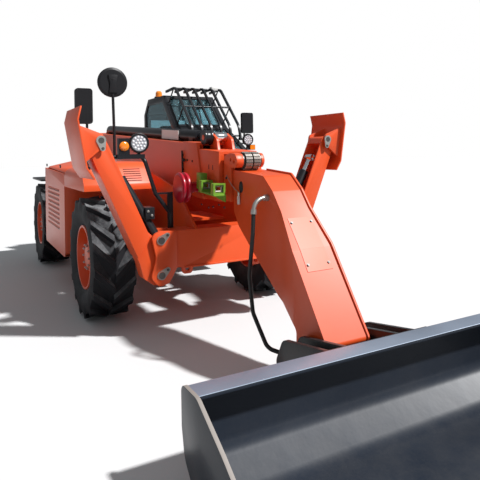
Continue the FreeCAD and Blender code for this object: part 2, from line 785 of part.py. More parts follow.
def hose_guide():
    # two square frames on a shelf with a gusset, beside the second and third collars
    low, high = -155.0, -64.0
    inner_y, outer_y = -guide_y, -guide_y - 108
    collar_half = sections[1][8]
    u0, u1 = guide_u, guide_u + 490
    shelf = top_prism([(u0, inner_y), (u1, inner_y), (u1, outer_y), (u0 + 180, outer_y), (u0, inner_y - 30)],
                      low - 10, low)
    gusset = side_prism([(u0, low - 10), (u1, low - 10), (u1, low - 62)], inner_y - 8, inner_y)
    pieces = [shelf, gusset]
    for u in (u0 + 190, u0 + 425):
        frame = box(u, u + 52, outer_y, inner_y, low, high)
        window = box(u - 1, u + 53, outer_y + 16, inner_y - 16, low + 14, high - 14)
        pieces.append(frame.cut(window))
    pieces.append(box(u0 + 140, u0 + 240, inner_y, -collar_half, low - 10, low + 40))
    # the roller block behind the frames
    pieces.append(box(u0 + 30, u0 + 120, inner_y - 60, inner_y, low, high + 50))
    return on_boom(fuse(pieces))


def coupler():
    # outer ears on a torque tube, an inner crank for the tilt cylinder and the tool plate
    plate_rear = bucket_back - 10 - tool_plate_t
    pieces = [cross_bar(tool_x, tool_z, -350, 350, tool_r)]
    ear = [(tool_x - 60, tool_z + 10, 60), (tool_x + 30, 400, 70), (plate_rear, 470), (plate_rear, 60),
           (tool_x + 30, 120, 60)]
    for side in (1, -1):
        for near in (190, 320):
            y0, y1 = sorted((side * near, side * (near + 30)))
            pieces.append(side_prism(ear, y0, y1))
    pieces.append(box(plate_rear, plate_rear + tool_plate_t, -450, 450, 60, 470))
    tip = reach(Vector(tool_x, 0, tool_z), crank_angle, crank_r)
    for y0, y1 in ((-78, -56), (56, 78)):
        root = bar(Vector(tool_x, y0, tool_z), Vector(tool_x, y1, tool_z), 70)
        head = bar(Vector(tip.x, y0, tip.z), Vector(tip.x, y1, tip.z), 42)
        link = box(0, crank_r, y0, y1, -42, 42)
        link.rotate(Vector(0, 0, 0), Vector(0, 1, 0), -crank_angle)
        link.translate(Vector(tool_x, 0, tool_z))
        crank = fuse([root, head, link])
        pieces.append(crank.cut(bar(Vector(tip.x, y0 - 1, tip.z), Vector(tip.x, y1 + 1, tip.z), 25)))
    return fuse(pieces)


def bucket():
    floor = ground_gap
    t = bucket_plate
    back = bucket_back
    front = bucket_reach
    shell = side_prism([
        (back, bucket_top), (back, floor + 160, 120), (back + 170, floor, 150), (front, floor),
        (front - 60, floor + 22), (back + 190, floor + t, 140), (back + t, floor + 165, 110),
        (back + t, bucket_top),
    ], -bucket_half, bucket_half)
    # the bent top edge and the rounded end plates that stand a little proud of it
    lip = side_prism([(back, bucket_top - 40), (back, bucket_top, 6), (back + bucket_lip, bucket_top, 6),
                      (back + bucket_lip, bucket_top - 18), (back + 40, bucket_top - 18)],
                     -bucket_half, bucket_half)
    end = [
        (back - 30, bucket_top + 4, 40), (back - 30, floor + 300, 60), (back, floor + 160, 120),
        (back + 170, floor, 150),
        (front, floor), (front - 60, floor + 60), (back + 400, bucket_top - 130, 160),
        (back + 150, bucket_top + 4, 90),
    ]
    pieces = [shell, lip]
    for y0 in (-bucket_half, bucket_half - bucket_end_t):
        pieces.append(side_prism(end, y0, y0 + bucket_end_t))
    for y in (-300, 280):
        pieces.append(box(back - 10, back + 6, y, y + 20, 100, 440))
    return fuse(pieces)


# Stabilizers, built on the right side and mirrored

def arm_frame():
    base = Vector(0, -arm_pin_y, arm_pin_z)
    tip = Vector(0, -foot_pin_y, foot_pin_z)
    along = (tip - base).normalize()
    inner = Vector(0, along.z, -along.y)
    return base, along, inner, (tip - base).Length


def arm_point(s, w):
    base, along, inner, length = arm_frame()
    return base + along * s + inner * w


def arm_prism(points, x0, x1):
    flat = []
    for point in points:
        place = arm_point(point[0], point[1])
        flat.append((place.y, place.z) + tuple(point[2:]))
    return front_prism(flat, x0, x1)


def stabilizer_arm():
    length = arm_frame()[3]
    inner, outer = arm_in, -arm_out
    x0, x1 = arm_x0, arm_x1
    t = arm_wall
    root = arm_prism([(-68, -80, 45), (-72, 55, 50), (150, 72), (340, 72), (400, inner),
                      (400, outer), (170, outer), (35, -140, 60)], root_x0, root_x1)
    body = arm_prism([(229, outer), (351, inner), (length - 60, inner), (length + 35, 42, 45),
                      (length + 20, outer, 50)], x0, x1)
    trough = arm_prism([(262, outer + t), (392, inner + 10), (length - 60, inner + 10),
                        (length - 60, outer + t)],
                       x0 + t, x1 - t)
    slot = arm_prism([(120, 15), (120, 110), (410, 110), (410, outer + t), (240, outer + t)],
                     root_x0 + lug_t, root_x1 - lug_t)
    arm = fuse([root, body]).cut(trough).cut(slot)
    pin = bar(Vector(740, -arm_pin_y, arm_pin_z), Vector(1010, -arm_pin_y, arm_pin_z), arm_pin_r + 0.3)
    foot_pin = bar(Vector(700, -foot_pin_y, foot_pin_z), Vector(1050, -foot_pin_y, foot_pin_z),
                   foot_pin_r + 0.3)
    return arm.cut(pin).cut(foot_pin)


def stabilizer_foot():
    # a sole with both ends bent up, on two cheeks beside the arm
    pin = Vector(0, -foot_pin_y, foot_pin_z)
    lean = math.radians(sole_angle)
    up = Vector(0, -math.sin(lean), math.cos(lean))
    out = Vector(0, -math.cos(lean), -math.sin(lean))

    def at(along, outward):
        place = pin + up * along + out * outward
        return (place.y, place.z)

    h, d, t = sole_half, sole_drop, sole_t
    bend, rise = 100, 42
    sole = [at(-h, d - rise), at(-h + bend, d), at(h - bend, d), at(h, d - rise),
            at(h - 4, d - rise - t), at(h - bend - 3, d - t), at(-h + bend + 3, d - t),
            at(-h + 4, d - rise - t)]
    pieces = [front_prism(sole, sole_x0, sole_x1)]
    cheek = [at(-150, d - t), at(150, d - t), at(45, -30) + (40,), at(-45, -30) + (40,)]
    for x0 in (arm_x0 - 30, arm_x1 + 8):
        pieces.append(front_prism(cheek, x0, x0 + 22))
    pieces.append(bar(Vector(arm_x0 - 36, pin.y, pin.z), Vector(arm_x1 + 36, pin.y, pin.z), foot_pin_r))
    return fuse(pieces)


def stabilizer_ram():
    base = Vector(arm_mid_x, -arm_pin_y, ram_pin_z)
    eye_point = arm_point(ram_eye_s, ram_eye_w)
    eye = Vector(arm_mid_x, eye_point.y, eye_point.z)
    return ram_pair(base, eye, 48, 48, ram_r, 25, 620, arm_pin_r + 0.3)


# Cab

# foot, knee and top of the windscreen
cab_front = [Vector(-520, 0, 1500), Vector(-1290, 0, 1930), Vector(-1755, 0, 2400)]


def cab_profile(inset):
    low, front, rear = cab_base, cab_front, cab_rear
    return [
        (cab_low_rear + inset, low + inset), (-820 - inset, low + inset), (-820 - inset, 1225 + inset),
        (front[0].x + 20 - inset * 1.2, 1300 + inset), (front[0].x - inset * 1.2, front[0].z - inset * 0.6),
        (front[1].x - inset * 0.7, front[1].z - inset), (front[2].x - inset * 0.4, front[2].z - inset),
        (rear + 200, front[2].z - inset), (rear + inset, 2180), (rear + inset, cab_sill + inset),
        (cab_low_rear + inset, cab_sill + inset),
    ]


def door_points(inset):
    rear = door_rear + inset
    return [
        (rear, cab_sill + 50 + inset), (cab_low_rear + 250 + inset, 830 + inset, 60),
        (-960 - inset, 830 + inset, 60),
        (-960 - inset, 1250), (-1010 - inset, 1640 - inset * 0.9, 60),
        (-1340 - inset * 0.7, 1850 - inset, 60),
        (-1800 - inset * 0.4, 2310 - inset, 60), (rear, 2310 - inset, 60),
    ]


def side_window_points():
    rear = cab_rear + 100
    low = cab_sill + 70
    return [(rear, low, 50), (-1100, low, 50), (-1070, 1620, 50), (-1380, 1850, 50), (-1810, 2310, 50),
            (rear + 100, 2310, 50), (rear, 2180, 50)]


def cab_shell():
    outer = side_prism(cab_profile(0), cab_in, cab_out)
    inner = side_prism(cab_profile(cab_post), cab_in + cab_wall, cab_out - cab_wall)
    shell = outer.cut(inner)
    shell = shell.cut(side_prism(door_points(0), cab_out - cab_wall - 1, cab_out + 1))
    shell = shell.cut(side_prism(side_window_points(), cab_in - 1, cab_in + cab_wall + 1))
    shell = shell.cut(rear_window(2 * cab_post + 20))
    for pane in front_panes(200):
        shell = shell.cut(pane)
    leaves = []
    for z in hinge_zs:
        leaves.append(box(hinge_x - 82, hinge_x - 8, cab_out, cab_out + 6, z, z + hinge_h))
        for low in (z, z + hinge_h - 20):
            leaves.append(box(hinge_x - 9, hinge_x - 2, cab_out, cab_out + 6, low, low + 20))
            leaves.append(Part.makeCylinder(14, 20, Vector(hinge_x, hinge_y, low)))
        leaves.append(Part.makeCylinder(hinge_pin_r, hinge_h, Vector(hinge_x, hinge_y, z)))
    return fuse([shell] + leaves)


def rear_window(thick):
    x = cab_rear + glass_back
    return box(x - thick / 2, x + thick / 2, cab_in + 90, cab_out - 90, cab_sill + 170, 2100)


def front_panes(thick):
    # the lower and the upper pane of the raked windscreen, each as a slab along its part of the front
    panes = []
    edge = 60
    for low, high in zip(cab_front, cab_front[1:]):
        slope = (high - low).normalize()
        inward = Vector(slope.z, 0, -slope.x) * -1
        start = low + slope * edge + inward * glass_back
        end = high - slope * edge + inward * glass_back
        half = inward * (thick / 2)
        corners = [start - half, end - half, end + half, start + half]
        panes.append(side_prism([(p.x, p.z) for p in corners], cab_in + edge, cab_out - edge))
    return panes


def cab_glass():
    right = side_prism(side_window_points(), cab_in + 10, cab_in + 10 + glass_t)
    return Part.makeCompound([right, rear_window(glass_t)] + front_panes(glass_t))


def door_frame():
    frame = side_prism(door_points(door_gap), cab_out - cab_wall, cab_out)
    frame = frame.cut(side_prism(door_points(door_gap + cab_post), cab_out - cab_wall - 1, cab_out + 1))
    straps = []
    for z in hinge_zs:
        ring = Part.makeCylinder(14, hinge_h - 40.6, Vector(hinge_x, hinge_y, z + 20.3))
        strap = box(hinge_x, hinge_x + 60, cab_out, cab_out + 6, z + 22, z + hinge_h - 22)
        pin = Part.makeCylinder(hinge_pin_r + 0.3, hinge_h, Vector(hinge_x, hinge_y, z))
        straps.append(ring.fuse(strap).cut(pin))
    return fuse([frame] + straps)


def door_glass():
    return side_prism(door_points(door_gap + cab_post), cab_out - 20, cab_out - 20 + glass_t)


def cab_guard():
    # curved flat bars ahead of the windscreen and over the roof, tied by rails on pegs
    bar_points = [
        (-800, 1740), (-850, 1930, 200), (-1400, 2490, 160), (-1760, 2470), (-1760, 2438), (-1415, 2455, 130),
        (-884, 1925, 170), (-832, 1740),
    ]
    pieces = []
    inner, outer = cab_in + 45, cab_out - 45
    for i in range(guard_count):
        y = inner + i * (outer - inner) / (guard_count - 1)
        pieces.append(side_prism(bar_points, y - guard_w / 2, y + guard_w / 2))
    # rails across the bars: x, z, windscreen pane below
    for x, z, pane in ((-846, 1800, 0), (-1127, 2195, 1), (-1470, 2470, 1)):
        pieces.append(cross_bar(x, z, inner - 18, outer + 18, 12))
        low, high = cab_front[pane], cab_front[pane + 1]
        slope = (high - low).normalize()
        normal = Vector(slope.z, 0, -slope.x)
        for y in (inner, outer):
            end = Vector(x, y, z)
            stand = (end - Vector(low.x, y, low.z)).dot(normal)
            pieces.append(bar(end - normal * (stand - 0.3), end, 9))
    return fuse(pieces)


def seat():
    x = seat_x
    low, high = cab_sill + 65, cab_sill + 155
    cushion = box(x - 230, x + 220, 570, 1030, low, high)
    back = side_prism([(x - 230, high), (x - 130, high), (x - 200, high + 600, 40),
                       (x - 300, high + 600, 40), (x - 300, high + 250)], 570, 1030)
    shell_low = cab_base + cab_post
    base = box(cab_low_rear + cab_post + 5, x + 160, 640, 960, shell_low, low)
    return fuse([cushion, back, base])


def console():
    shell_low = cab_base + cab_post
    column = side_prism([(-1080, shell_low), (-900, shell_low), (-900, 1300), (-1100, 1560), (-1170, 1530)],
                        760, 850)
    # the steering wheel: an eight-sided rim, one spoke across and its hub
    section = [(190 + 14 * math.cos(math.radians(a)), 14 * math.sin(math.radians(a)))
               for a in range(0, 360, 45)]
    ring_face = outline(section, lambda p: Vector(p.x, 0, p.y))
    ring = ring_face.revolve(Vector(0, 0, 0), Vector(0, 0, 1), 360)
    spoke = box(-185, 185, -14, 14, -10, 8)
    wheel = fuse([ring, spoke, Part.makeCylinder(40, 60, Vector(0, 0, -50))])
    wheel.rotate(Vector(0, 0, 0), Vector(0, 1, 0), -35)
    wheel.translate(Vector(-1165, 805, 1590))
    return fuse([column, wheel])


def shoulder(inset, low, x0, x1):
    # the cross-section of hood and fender: flat by the boom, falling to a rounded outer edge
    y_in, y_out = -pod_in - 15 - inset, -pod_out + inset
    top = fender_low + 268 - inset
    points = [(y_in, low), (y_in, top, 45), (-760, top - 8, 300), (y_out, top - 83, 90), (y_out, low)]
    return front_prism(points, x0, x1)


def fender_shell():
    # the mudguard ahead of the pod, a closed curved hood that dips to the crossbeam
    x0, x1 = pod_front + 8, fender_front
    low, high = fender_low, fender_low + 280
    outer = side_prism([(x0, low), (x1, low), (x1 - 10, low + 60, 60), (60, high, 220), (x0, high)],
                       -pod_out, -pod_in)
    inner = side_prism([(x0 - 1, low - 1), (x1 - pod_wall, low - 1),
                        (x1 - 10 - pod_wall, low + 60 - pod_wall, 52),
                        (60 - pod_wall, high - pod_wall, 212), (x0 - 1, high - pod_wall)], -pod_out, -pod_in)
    hood = outer.common(shoulder(0, low - 5, x0, x1))
    hood = hood.cut(inner.common(shoulder(pod_wall, low - 5, x0 - 1, x1 + 1)))
    return hood


def engine_pod():
    w = pod_wall
    outer = side_prism([(pod_rear, pod_low, 60), (pod_front, pod_low, 60), (pod_front, fender_low + 140),
                        (pod_rear, fender_low + 180)], -pod_out, -pod_in)
    inner = side_prism([(pod_rear + w, pod_low + w), (pod_front - w, pod_low + w),
                        (pod_front - w, fender_low + 260),
                        (pod_rear + w, fender_low + 260)], -pod_out + w, -pod_in - w)
    shell = outer.cut(inner)
    shelf = box(pod_front - 1, pod_front + 40, -pod_out, -pod_in - 15, fender_low, fender_low + 12)
    bracket = box(-1500, -1400, -pod_in, -plate_out, tail_low, 1000)
    stay = box(-400, -300, -pod_in - 60, -plate_out, fender_low + 20, fender_low + 60)
    ears = []
    for x in lid_hinge_xs:
        for x0 in (x, x + 60):
            ears.append(box(x0, x0 + 10, -pod_in - 8, -lid_hinge_y + 12, fender_low + 100, lid_hinge_z + 12))
        ears.append(bar(Vector(x, -lid_hinge_y, lid_hinge_z), Vector(x + 70, -lid_hinge_y, lid_hinge_z),
                        hinge_pin_r))
    return fuse([shell, fender_shell(), shelf, bracket, stay] + ears)


def engine_hood():
    w = 6
    x0, x1 = pod_rear - 6, pod_front + 4
    y1 = -pod_in - 15
    rear, front, high, low = fender_low + 187, fender_low + 147, fender_low + 280, fender_low + 60
    side = [(x0, rear), (x1, front), (x1, high), (x0, high - 5, 30)]
    lid = side_prism(side, -pod_out, y1).common(shoulder(0, low, x0, x1))
    hollow_side = [(x0 + w, rear - 27), (x1 - w, front - 27), (x1 - w, high), (x0 + w, high - 5 - w, 24)]
    hollow = side_prism(hollow_side, -pod_out, y1).common(shoulder(w, low, x0 + w, x1 - w))
    straps = []
    for x in lid_hinge_xs:
        ring = bar(Vector(x + 15, -lid_hinge_y, lid_hinge_z), Vector(x + 55, -lid_hinge_y, lid_hinge_z), 14)
        strap = box(x + 15, x + 55, y1 - 1, -lid_hinge_y, lid_hinge_z - 14, lid_hinge_z - 8)
        pin = bar(Vector(x, -lid_hinge_y, lid_hinge_z), Vector(x + 70, -lid_hinge_y, lid_hinge_z),
                  hinge_pin_r + 0.3)
        straps.append(ring.fuse(strap).cut(pin))
    return fuse([lid.cut(hollow)] + straps)


def front_fender_left():
    low = fender_low
    top = side_prism([(-880, low), (-60, low), (-40, low + 22), (-500, low + 54), (-880, low + 54)],
                     460, pod_out)
    return top.cut(side_prism(cab_profile(0), cab_in - 20, cab_out + 20))


def rear_fenders():
    # a flat guard over each rear tyre and the stay that carries it
    x0, x1 = rear_axle_x - 560, cab_rear - 15
    low, high = cab_sill - 35, cab_sill - 5
    guard = side_prism([(x0, low, 14), (x1, low, 14), (x1, high, 14), (x0, high, 14)], 460, pod_out)
    stay = box(rear_axle_x - 100, rear_axle_x + 20, plate_out, 470, low, high)
    return fuse([guard, stay])


def fuel_tank():
    x0, x1 = pod_mid - 650, pod_mid + 50
    inner = cab_in + 20
    tank = side_prism([(x0, 470, 60), (x1, 470, 60), (x1, cab_base - 5), (x0, cab_base - 5)], inner, 1080)
    arm = box(x1 - 350, x1 - 250, plate_out, inner, 560, 660)
    step_x0, step_x1 = x1 + 50, x1 + 500
    steps = [box(step_x0, step_x1, 900, 1150, 470, 500),
             box(step_x0, step_x1, 900, 1150, cab_base - 15, cab_base)]
    risers = [box(x, x + 15, 900, 1150, 470, cab_base) for x in (step_x0, step_x1 - 15)]
    return [fuse([tank, arm]), fuse(steps + risers)]


def lamps():
    # right: tube from the crossbeam, bracket, work lamp and turn lamp; left: both on a stalk
    x = 780
    stalk = pipe([Vector(x, -464, 945), Vector(x, -464, 1050), Vector(x, -600, 1235), Vector(x, -690, 1520),
                  Vector(x - 40, -715, 1570)], 18, 50)
    foot = box(x - 12, x + 12, -488, -440, beam_high + 0.3, 1225)
    hoop = box(x - 12, x + 12, -600, -440, 1225, 1240)
    plate = box(700, 780, -935, -690, 1545, 1585)
    work = turned([(0, 70), (45, 88), (62, 88), (62, 78)], Vector(685, -730, 1683), Vector(1, 0, 0))
    post = bar(Vector(730, -730, 1580), Vector(730, -730, 1620), 14)
    turn_lamp = box(700, 745, -915, -815, 1584, 1725)
    right = fuse([stalk, foot, hoop, plate, work, post, turn_lamp])
    left_stalk = pipe([Vector(-100, 800, fender_low + 27.5), Vector(-100, 800, 1500),
                       Vector(-100, 832, 1640)], 14, 60)
    left_work = turned([(0, 52), (35, 66), (50, 66), (50, 58)], Vector(-125, 832, 1729), Vector(1, 0, 0))
    left_turn = box(-125, -85, 858, 930, 1610, 1670)
    left = fuse([left_stalk, left_work, bar(Vector(-100, 832, 1630), Vector(-100, 832, 1690), 12), left_turn])
    return [right, left]


def mirrors():
    # the round mirror on the lamp bracket, a square one on the fender and one on the cab's front post
    pole = pipe([Vector(740, -948, 1565), Vector(740, -948, 1750), Vector(725, -951, 2110)], 12, 100)
    clamp = bar(Vector(740, -935.3, 1565), Vector(740, -966, 1565), 16)
    round_head = turned([(0, 118), (14, 130), (26, 130), (34, 110)], Vector(694, -950, 2211), Vector(1, 0, 0))
    foot_z = fender_low + 205.2
    stalk = bar(Vector(100, -1040, foot_z + 5), Vector(100, -1040, 1890), 12)
    foot = bar(Vector(100, -1040, foot_z), Vector(100, -1040, foot_z + 25), 26)
    square_head = front_prism([(-1151, 1883, 30), (-987, 1883, 30), (-987, 2224, 30), (-1151, 2224, 30)],
                              78, 122)
    arm = bar(Vector(-905, cab_out + 0.3, 1700), Vector(-905, 1250, 1700), 11)
    left_head = front_prism([(1200, 1835, 25), (1370, 1835, 25), (1370, 2110, 25), (1200, 2110, 25)],
                            -925, -885)
    post = bar(Vector(-905, 1238, 1700), Vector(-905, 1238, 1880), 11)
    return [fuse([clamp, pole, round_head]), fuse([stalk, foot, square_head]), fuse([arm, post, left_head])]


def beacon():
    profile = [(0, 62), (30, 62), (34, 50), (90, 46), (112, 30)]
    return turned(profile, Vector(cab_rear + 400, 520, cab_front[2].z), Vector(0, 0, 1))


def build():
    save("main_frame", main_frame())
    save("front_crossbeam", crossbeam())
    save("counterweight", counterweight())
    save("front_axle", axle())
    rear = axle()
    rear.rotate(Vector(0, 0, 0), Vector(0, 0, 1), 180)
    rear.translate(Vector(rear_axle_x, 0, 0))
    save("rear_axle", rear)
    save("engine_block", engine_block())
    save("engine_pod", engine_pod())
    save("engine_hood", engine_hood())
    save("drive_shaft", drive_shaft())
    save("cab_shell", cab_shell())
    save("cab_glass", cab_glass())
    save("cab_guard", cab_guard())
    save("door_frame", door_frame())
    save("door_glass", door_glass())
    save("seat", seat())
    save("console", console())
    save("front_fender_left", front_fender_left())
    save("rear_fenders", Part.makeCompound(both_sides(rear_fenders())))
    save("fuel_tank", Part.makeCompound(fuel_tank()))
    save("lamps", Part.makeCompound(lamps()))
    save("mirrors", Part.makeCompound(mirrors()))
    save("beacon", beacon())
    wheel_tyre = tyre()
    wheel_rim = rim()
    for name, x, side in (("fl", 0, 1), ("fr", 0, -1), ("rl", rear_axle_x, 1), ("rr", rear_axle_x, -1)):
        for part_name, shape in (("tyre_", wheel_tyre), ("rim_", wheel_rim)):
            piece = shape.copy() if side > 0 else mirror_y(shape)
            piece.translate(Vector(x, side * wheel_y, tyre_r))
            save(part_name + name, piece)
        carrier = knuckle() if side > 0 else mirror_y(knuckle())
        if x < 0:
            carrier.rotate(Vector(0, 0, 0), Vector(0, 0, 1), 180)
            carrier = mirror_y(carrier)
            carrier.translate(Vector(x, 0, 0))
        save("knuckle_" + name, carrier)
    save("boom_outer", boom_outer())
    save("boom_second", boom_second())
    save("boom_third", boom_third())
    save("boom_inner", boom_inner())
    save("chain_drum", chain_drum())
    save("extension_barrel", extension_barrel())
    save("extension_rod", extension_rod())
    save("hose_reel", hose_reel())
    save("hose_guide", hose_guide())
    save("neck_hose", neck_hose())
    save("coupler", coupler())
    save("bucket", bucket())
    lift_base = Vector(lift_base_x, 0, lift_base_z)
    lift = ram_pair(lift_base, Vector(lift_eye_x, 0, lift_eye_z), 80, 50, lift_r, 40, 1250, arm_pin_r + 0.3)
    save("lift_barrel", lift[0])
    save("lift_rod", lift[1])
    tip = reach(Vector(tool_x, 0, tool_z), crank_angle, crank_r)
    tilt = ram_pair(Vector(tilt_base_x, 0, tilt_base_z), tip, 50, 50, 50, 27, 560, foot_pin_r + 0.3,
                    tilt_pull_in)
    save("tilt_barrel", tilt[0])
    save("tilt_rod", tilt[1])
    ram = stabilizer_ram()
    for name, shape in (("arm", stabilizer_arm()), ("foot", stabilizer_foot()), ("barrel", ram[0]),
                        ("rod", ram[1])):
        save("stabilizer_" + name + "_right", shape)
        save("stabilizer_" + name + "_left", mirror_y(shape))


build()
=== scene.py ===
import json
import math

import bmesh
import bpy
from mathutils import Matrix, Vector


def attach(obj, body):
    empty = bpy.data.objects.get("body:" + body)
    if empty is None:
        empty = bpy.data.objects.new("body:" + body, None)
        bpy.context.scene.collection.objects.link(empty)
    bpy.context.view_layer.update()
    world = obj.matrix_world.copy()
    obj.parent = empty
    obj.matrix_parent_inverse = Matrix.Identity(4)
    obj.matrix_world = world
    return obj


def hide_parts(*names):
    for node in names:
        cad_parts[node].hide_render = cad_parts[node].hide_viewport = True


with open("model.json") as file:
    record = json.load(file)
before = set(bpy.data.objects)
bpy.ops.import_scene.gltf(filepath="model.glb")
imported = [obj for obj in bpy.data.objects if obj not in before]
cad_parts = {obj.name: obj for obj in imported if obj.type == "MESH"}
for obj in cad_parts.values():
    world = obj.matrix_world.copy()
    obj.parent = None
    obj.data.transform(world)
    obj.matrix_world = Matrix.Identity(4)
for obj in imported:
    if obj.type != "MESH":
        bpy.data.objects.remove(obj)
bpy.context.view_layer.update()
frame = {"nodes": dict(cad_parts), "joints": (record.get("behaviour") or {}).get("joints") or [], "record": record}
print("frame loaded")

# stations along X are counted from the front axle, as on the drawing of the machine
frontAxleX = next(j["pos_m"][0] for j in frame["joints"] if j["name"] == "wheel_front_left_spin")
bodyOf = {node: body for body, nodes in frame["record"]["behaviour"]["bodies"].items() for node in nodes}
slotOf = {row["node"]: row["material_slot"] for row in frame["record"]["subparts"]}


def at(x, y, z):
    return Vector((x + frontAxleX, y, z))


# camera: eye height of a person in front of the machine's right corner
camera = {
    "place": at(5.22, -2.141, 1.596),
    "yaw": 28.41,          # degrees from straight back, turned to the machine's left
    "pitch": -0.186,       # degrees down
    "roll": -0.974,
    "focal": 522.7 / 480,  # focal length over the picture's width
    "drop": 90.5 / 480,    # the horizon lies this far above the middle, over the width
}


def makeCamera():
    yaw, pitch, roll = (math.radians(camera[k]) for k in ("yaw", "pitch", "roll"))
    ahead = Vector((-math.cos(yaw) * math.cos(pitch), math.sin(yaw) * math.cos(pitch), -math.sin(pitch)))
    flatRight = ahead.cross(Vector((0, 0, 1))).normalized()
    flatUp = flatRight.cross(ahead)
    right = flatRight * math.cos(roll) + flatUp * math.sin(roll)
    up = flatUp * math.cos(roll) - flatRight * math.sin(roll)
    data = bpy.data.cameras.new("camera")
    data.sensor_width = 36
    data.lens = camera["focal"] * data.sensor_width
    data.shift_y = -camera["drop"]
    obj = bpy.data.objects.new("camera", data)
    bpy.context.scene.collection.objects.link(obj)
    turn = Matrix((right, up, -ahead)).transposed().to_4x4()
    obj.matrix_world = Matrix.Translation(camera["place"]) @ turn
    bpy.context.scene.camera = obj


light = {
    "sunStrength": 5.4,
    "sunAngle": 3.0,
    "sunFrom": (2.2, 1.9, 3.4),
    "world": 0.30,
    "floor": 0.66,
    "floorBounce": 0.34,   # what the floor throws back onto the machine
}


def makeLight():
    scene = bpy.context.scene
    scene.view_settings.view_transform = "Standard"
    sun = bpy.data.lights.new("sun", "SUN")
    sun.energy = light["sunStrength"]
    sun.angle = math.radians(light["sunAngle"])
    obj = bpy.data.objects.new("sun", sun)
    obj.rotation_euler = Vector(light["sunFrom"]).to_track_quat("Z", "Y").to_euler()
    scene.collection.objects.link(obj)
    world = bpy.data.worlds.new("studio")
    scene.world = world
    world.use_nodes = True
    nodes, links = world.node_tree.nodes, world.node_tree.links
    sky = nodes["Background"]
    sky.inputs["Color"].default_value = (0.90, 0.95, 1.0, 1)
    sky.inputs["Strength"].default_value = light["world"]
    white = nodes.new("ShaderNodeBackground")
    white.inputs["Color"].default_value = (1, 1, 1, 1)
    mix = nodes.new("ShaderNodeMixShader")
    path = nodes.new("ShaderNodeLightPath")
    seen = nodes.new("ShaderNodeMath")
    seen.operation = "MAXIMUM"
    links.new(path.outputs["Is Camera Ray"], seen.inputs[0])
    links.new(path.outputs["Is Transmission Ray"], seen.inputs[1])
    links.new(seen.outputs[0], mix.inputs[0])
    links.new(sky.outputs[0], mix.inputs[1])
    links.new(white.outputs[0], mix.inputs[2])
    links.new(mix.outputs[0], nodes["World Output"].inputs["Surface"])


def makeFloor():
    mesh = bpy.data.meshes.new("floor")
    bm = bmesh.new()
    bmesh.ops.create_grid(bm, x_segments=1, y_segments=1, size=60)
    bm.to_mesh(mesh)
    bm.free()
    floor = bpy.data.objects.new("floor", mesh)
    bpy.context.scene.collection.objects.link(floor)
    shade = bpy.data.materials.new("paleFloor")
    shade.use_nodes = True
    bsdf = shade.node_tree.nodes["Principled BSDF"]
    bsdf.inputs["Roughness"].default_value = 0.85
    nodes, links = shade.node_tree.nodes, shade.node_tree.links
    path = nodes.new("ShaderNodeLightPath")
    seen = nodes.new("ShaderNodeMath")
    seen.operation = "MAXIMUM"
    straight = nodes.new("ShaderNodeMath")
    straight.operation = "MAXIMUM"
    links.new(path.outputs["Is Camera Ray"], seen.inputs[0])
    links.new(path.outputs["Is Transmission Ray"], seen.inputs[1])
    links.new(seen.outputs[0], straight.inputs[0])
    links.new(path.outputs["Is Glossy Ray"], straight.inputs[1])
    tone = nodes.new("ShaderNodeMix")
    tone.data_type = "RGBA"
    tone.inputs[6].default_value = (*[light["floorBounce"]] * 3, 1)
    tone.inputs[7].default_value = (*[light["floor"]] * 3, 1)
    links.new(straight.outputs[0], tone.inputs[0])
    links.new(tone.outputs[2], bsdf.inputs["Base Color"])
    mesh.materials.append(shade)


makeCamera()
makeLight()
makeFloor()
print("camera, light and floor")


# shader groups

def newGroup(name, inputs, outputs):
    group = bpy.data.node_groups.new(name, "ShaderNodeTree")
    for label, kind, value in inputs:
        socket = group.interface.new_socket(label, in_out="INPUT", socket_type=kind)
        if value is not None:
            socket.default_value = value
    for label, kind in outputs:
        group.interface.new_socket(label, in_out="OUTPUT", socket_type=kind)
    start = group.nodes.new("NodeGroupInput")
    end = group.nodes.new("NodeGroupOutput")
    return group, start, end


def addMath(tree, kind, a, b=None, clamp=False):
    node = tree.nodes.new("ShaderNodeMath")
    node.operation = kind
    node.use_clamp = clamp
    for i, value in enumerate((a, b)):
        if value is None:
            continue
        if isinstance(value, (int, float)):
            node.inputs[i].default_value = value
        else:
            tree.links.new(value, node.inputs[i])
    return node.outputs[0]


def addNoise(tree, vector, scale, detail=4.0, rough=0.6):
    node = tree.nodes.new("ShaderNodeTexNoise")
    node.inputs["Scale"].default_value = scale
    node.inputs["Detail"].default_value = detail
    node.inputs["Roughness"].default_value = rough
    tree.links.new(vector, node.inputs["Vector"])
    return node.outputs["Fac"]


def addRamp(tree, value, low, high):
    node = tree.nodes.new("ShaderNodeMapRange")
    node.inputs["From Min"].default_value = low
    node.inputs["From Max"].default_value = high
    node.clamp = True
    tree.links.new(value, node.inputs["Value"])
    return node.outputs["Result"]


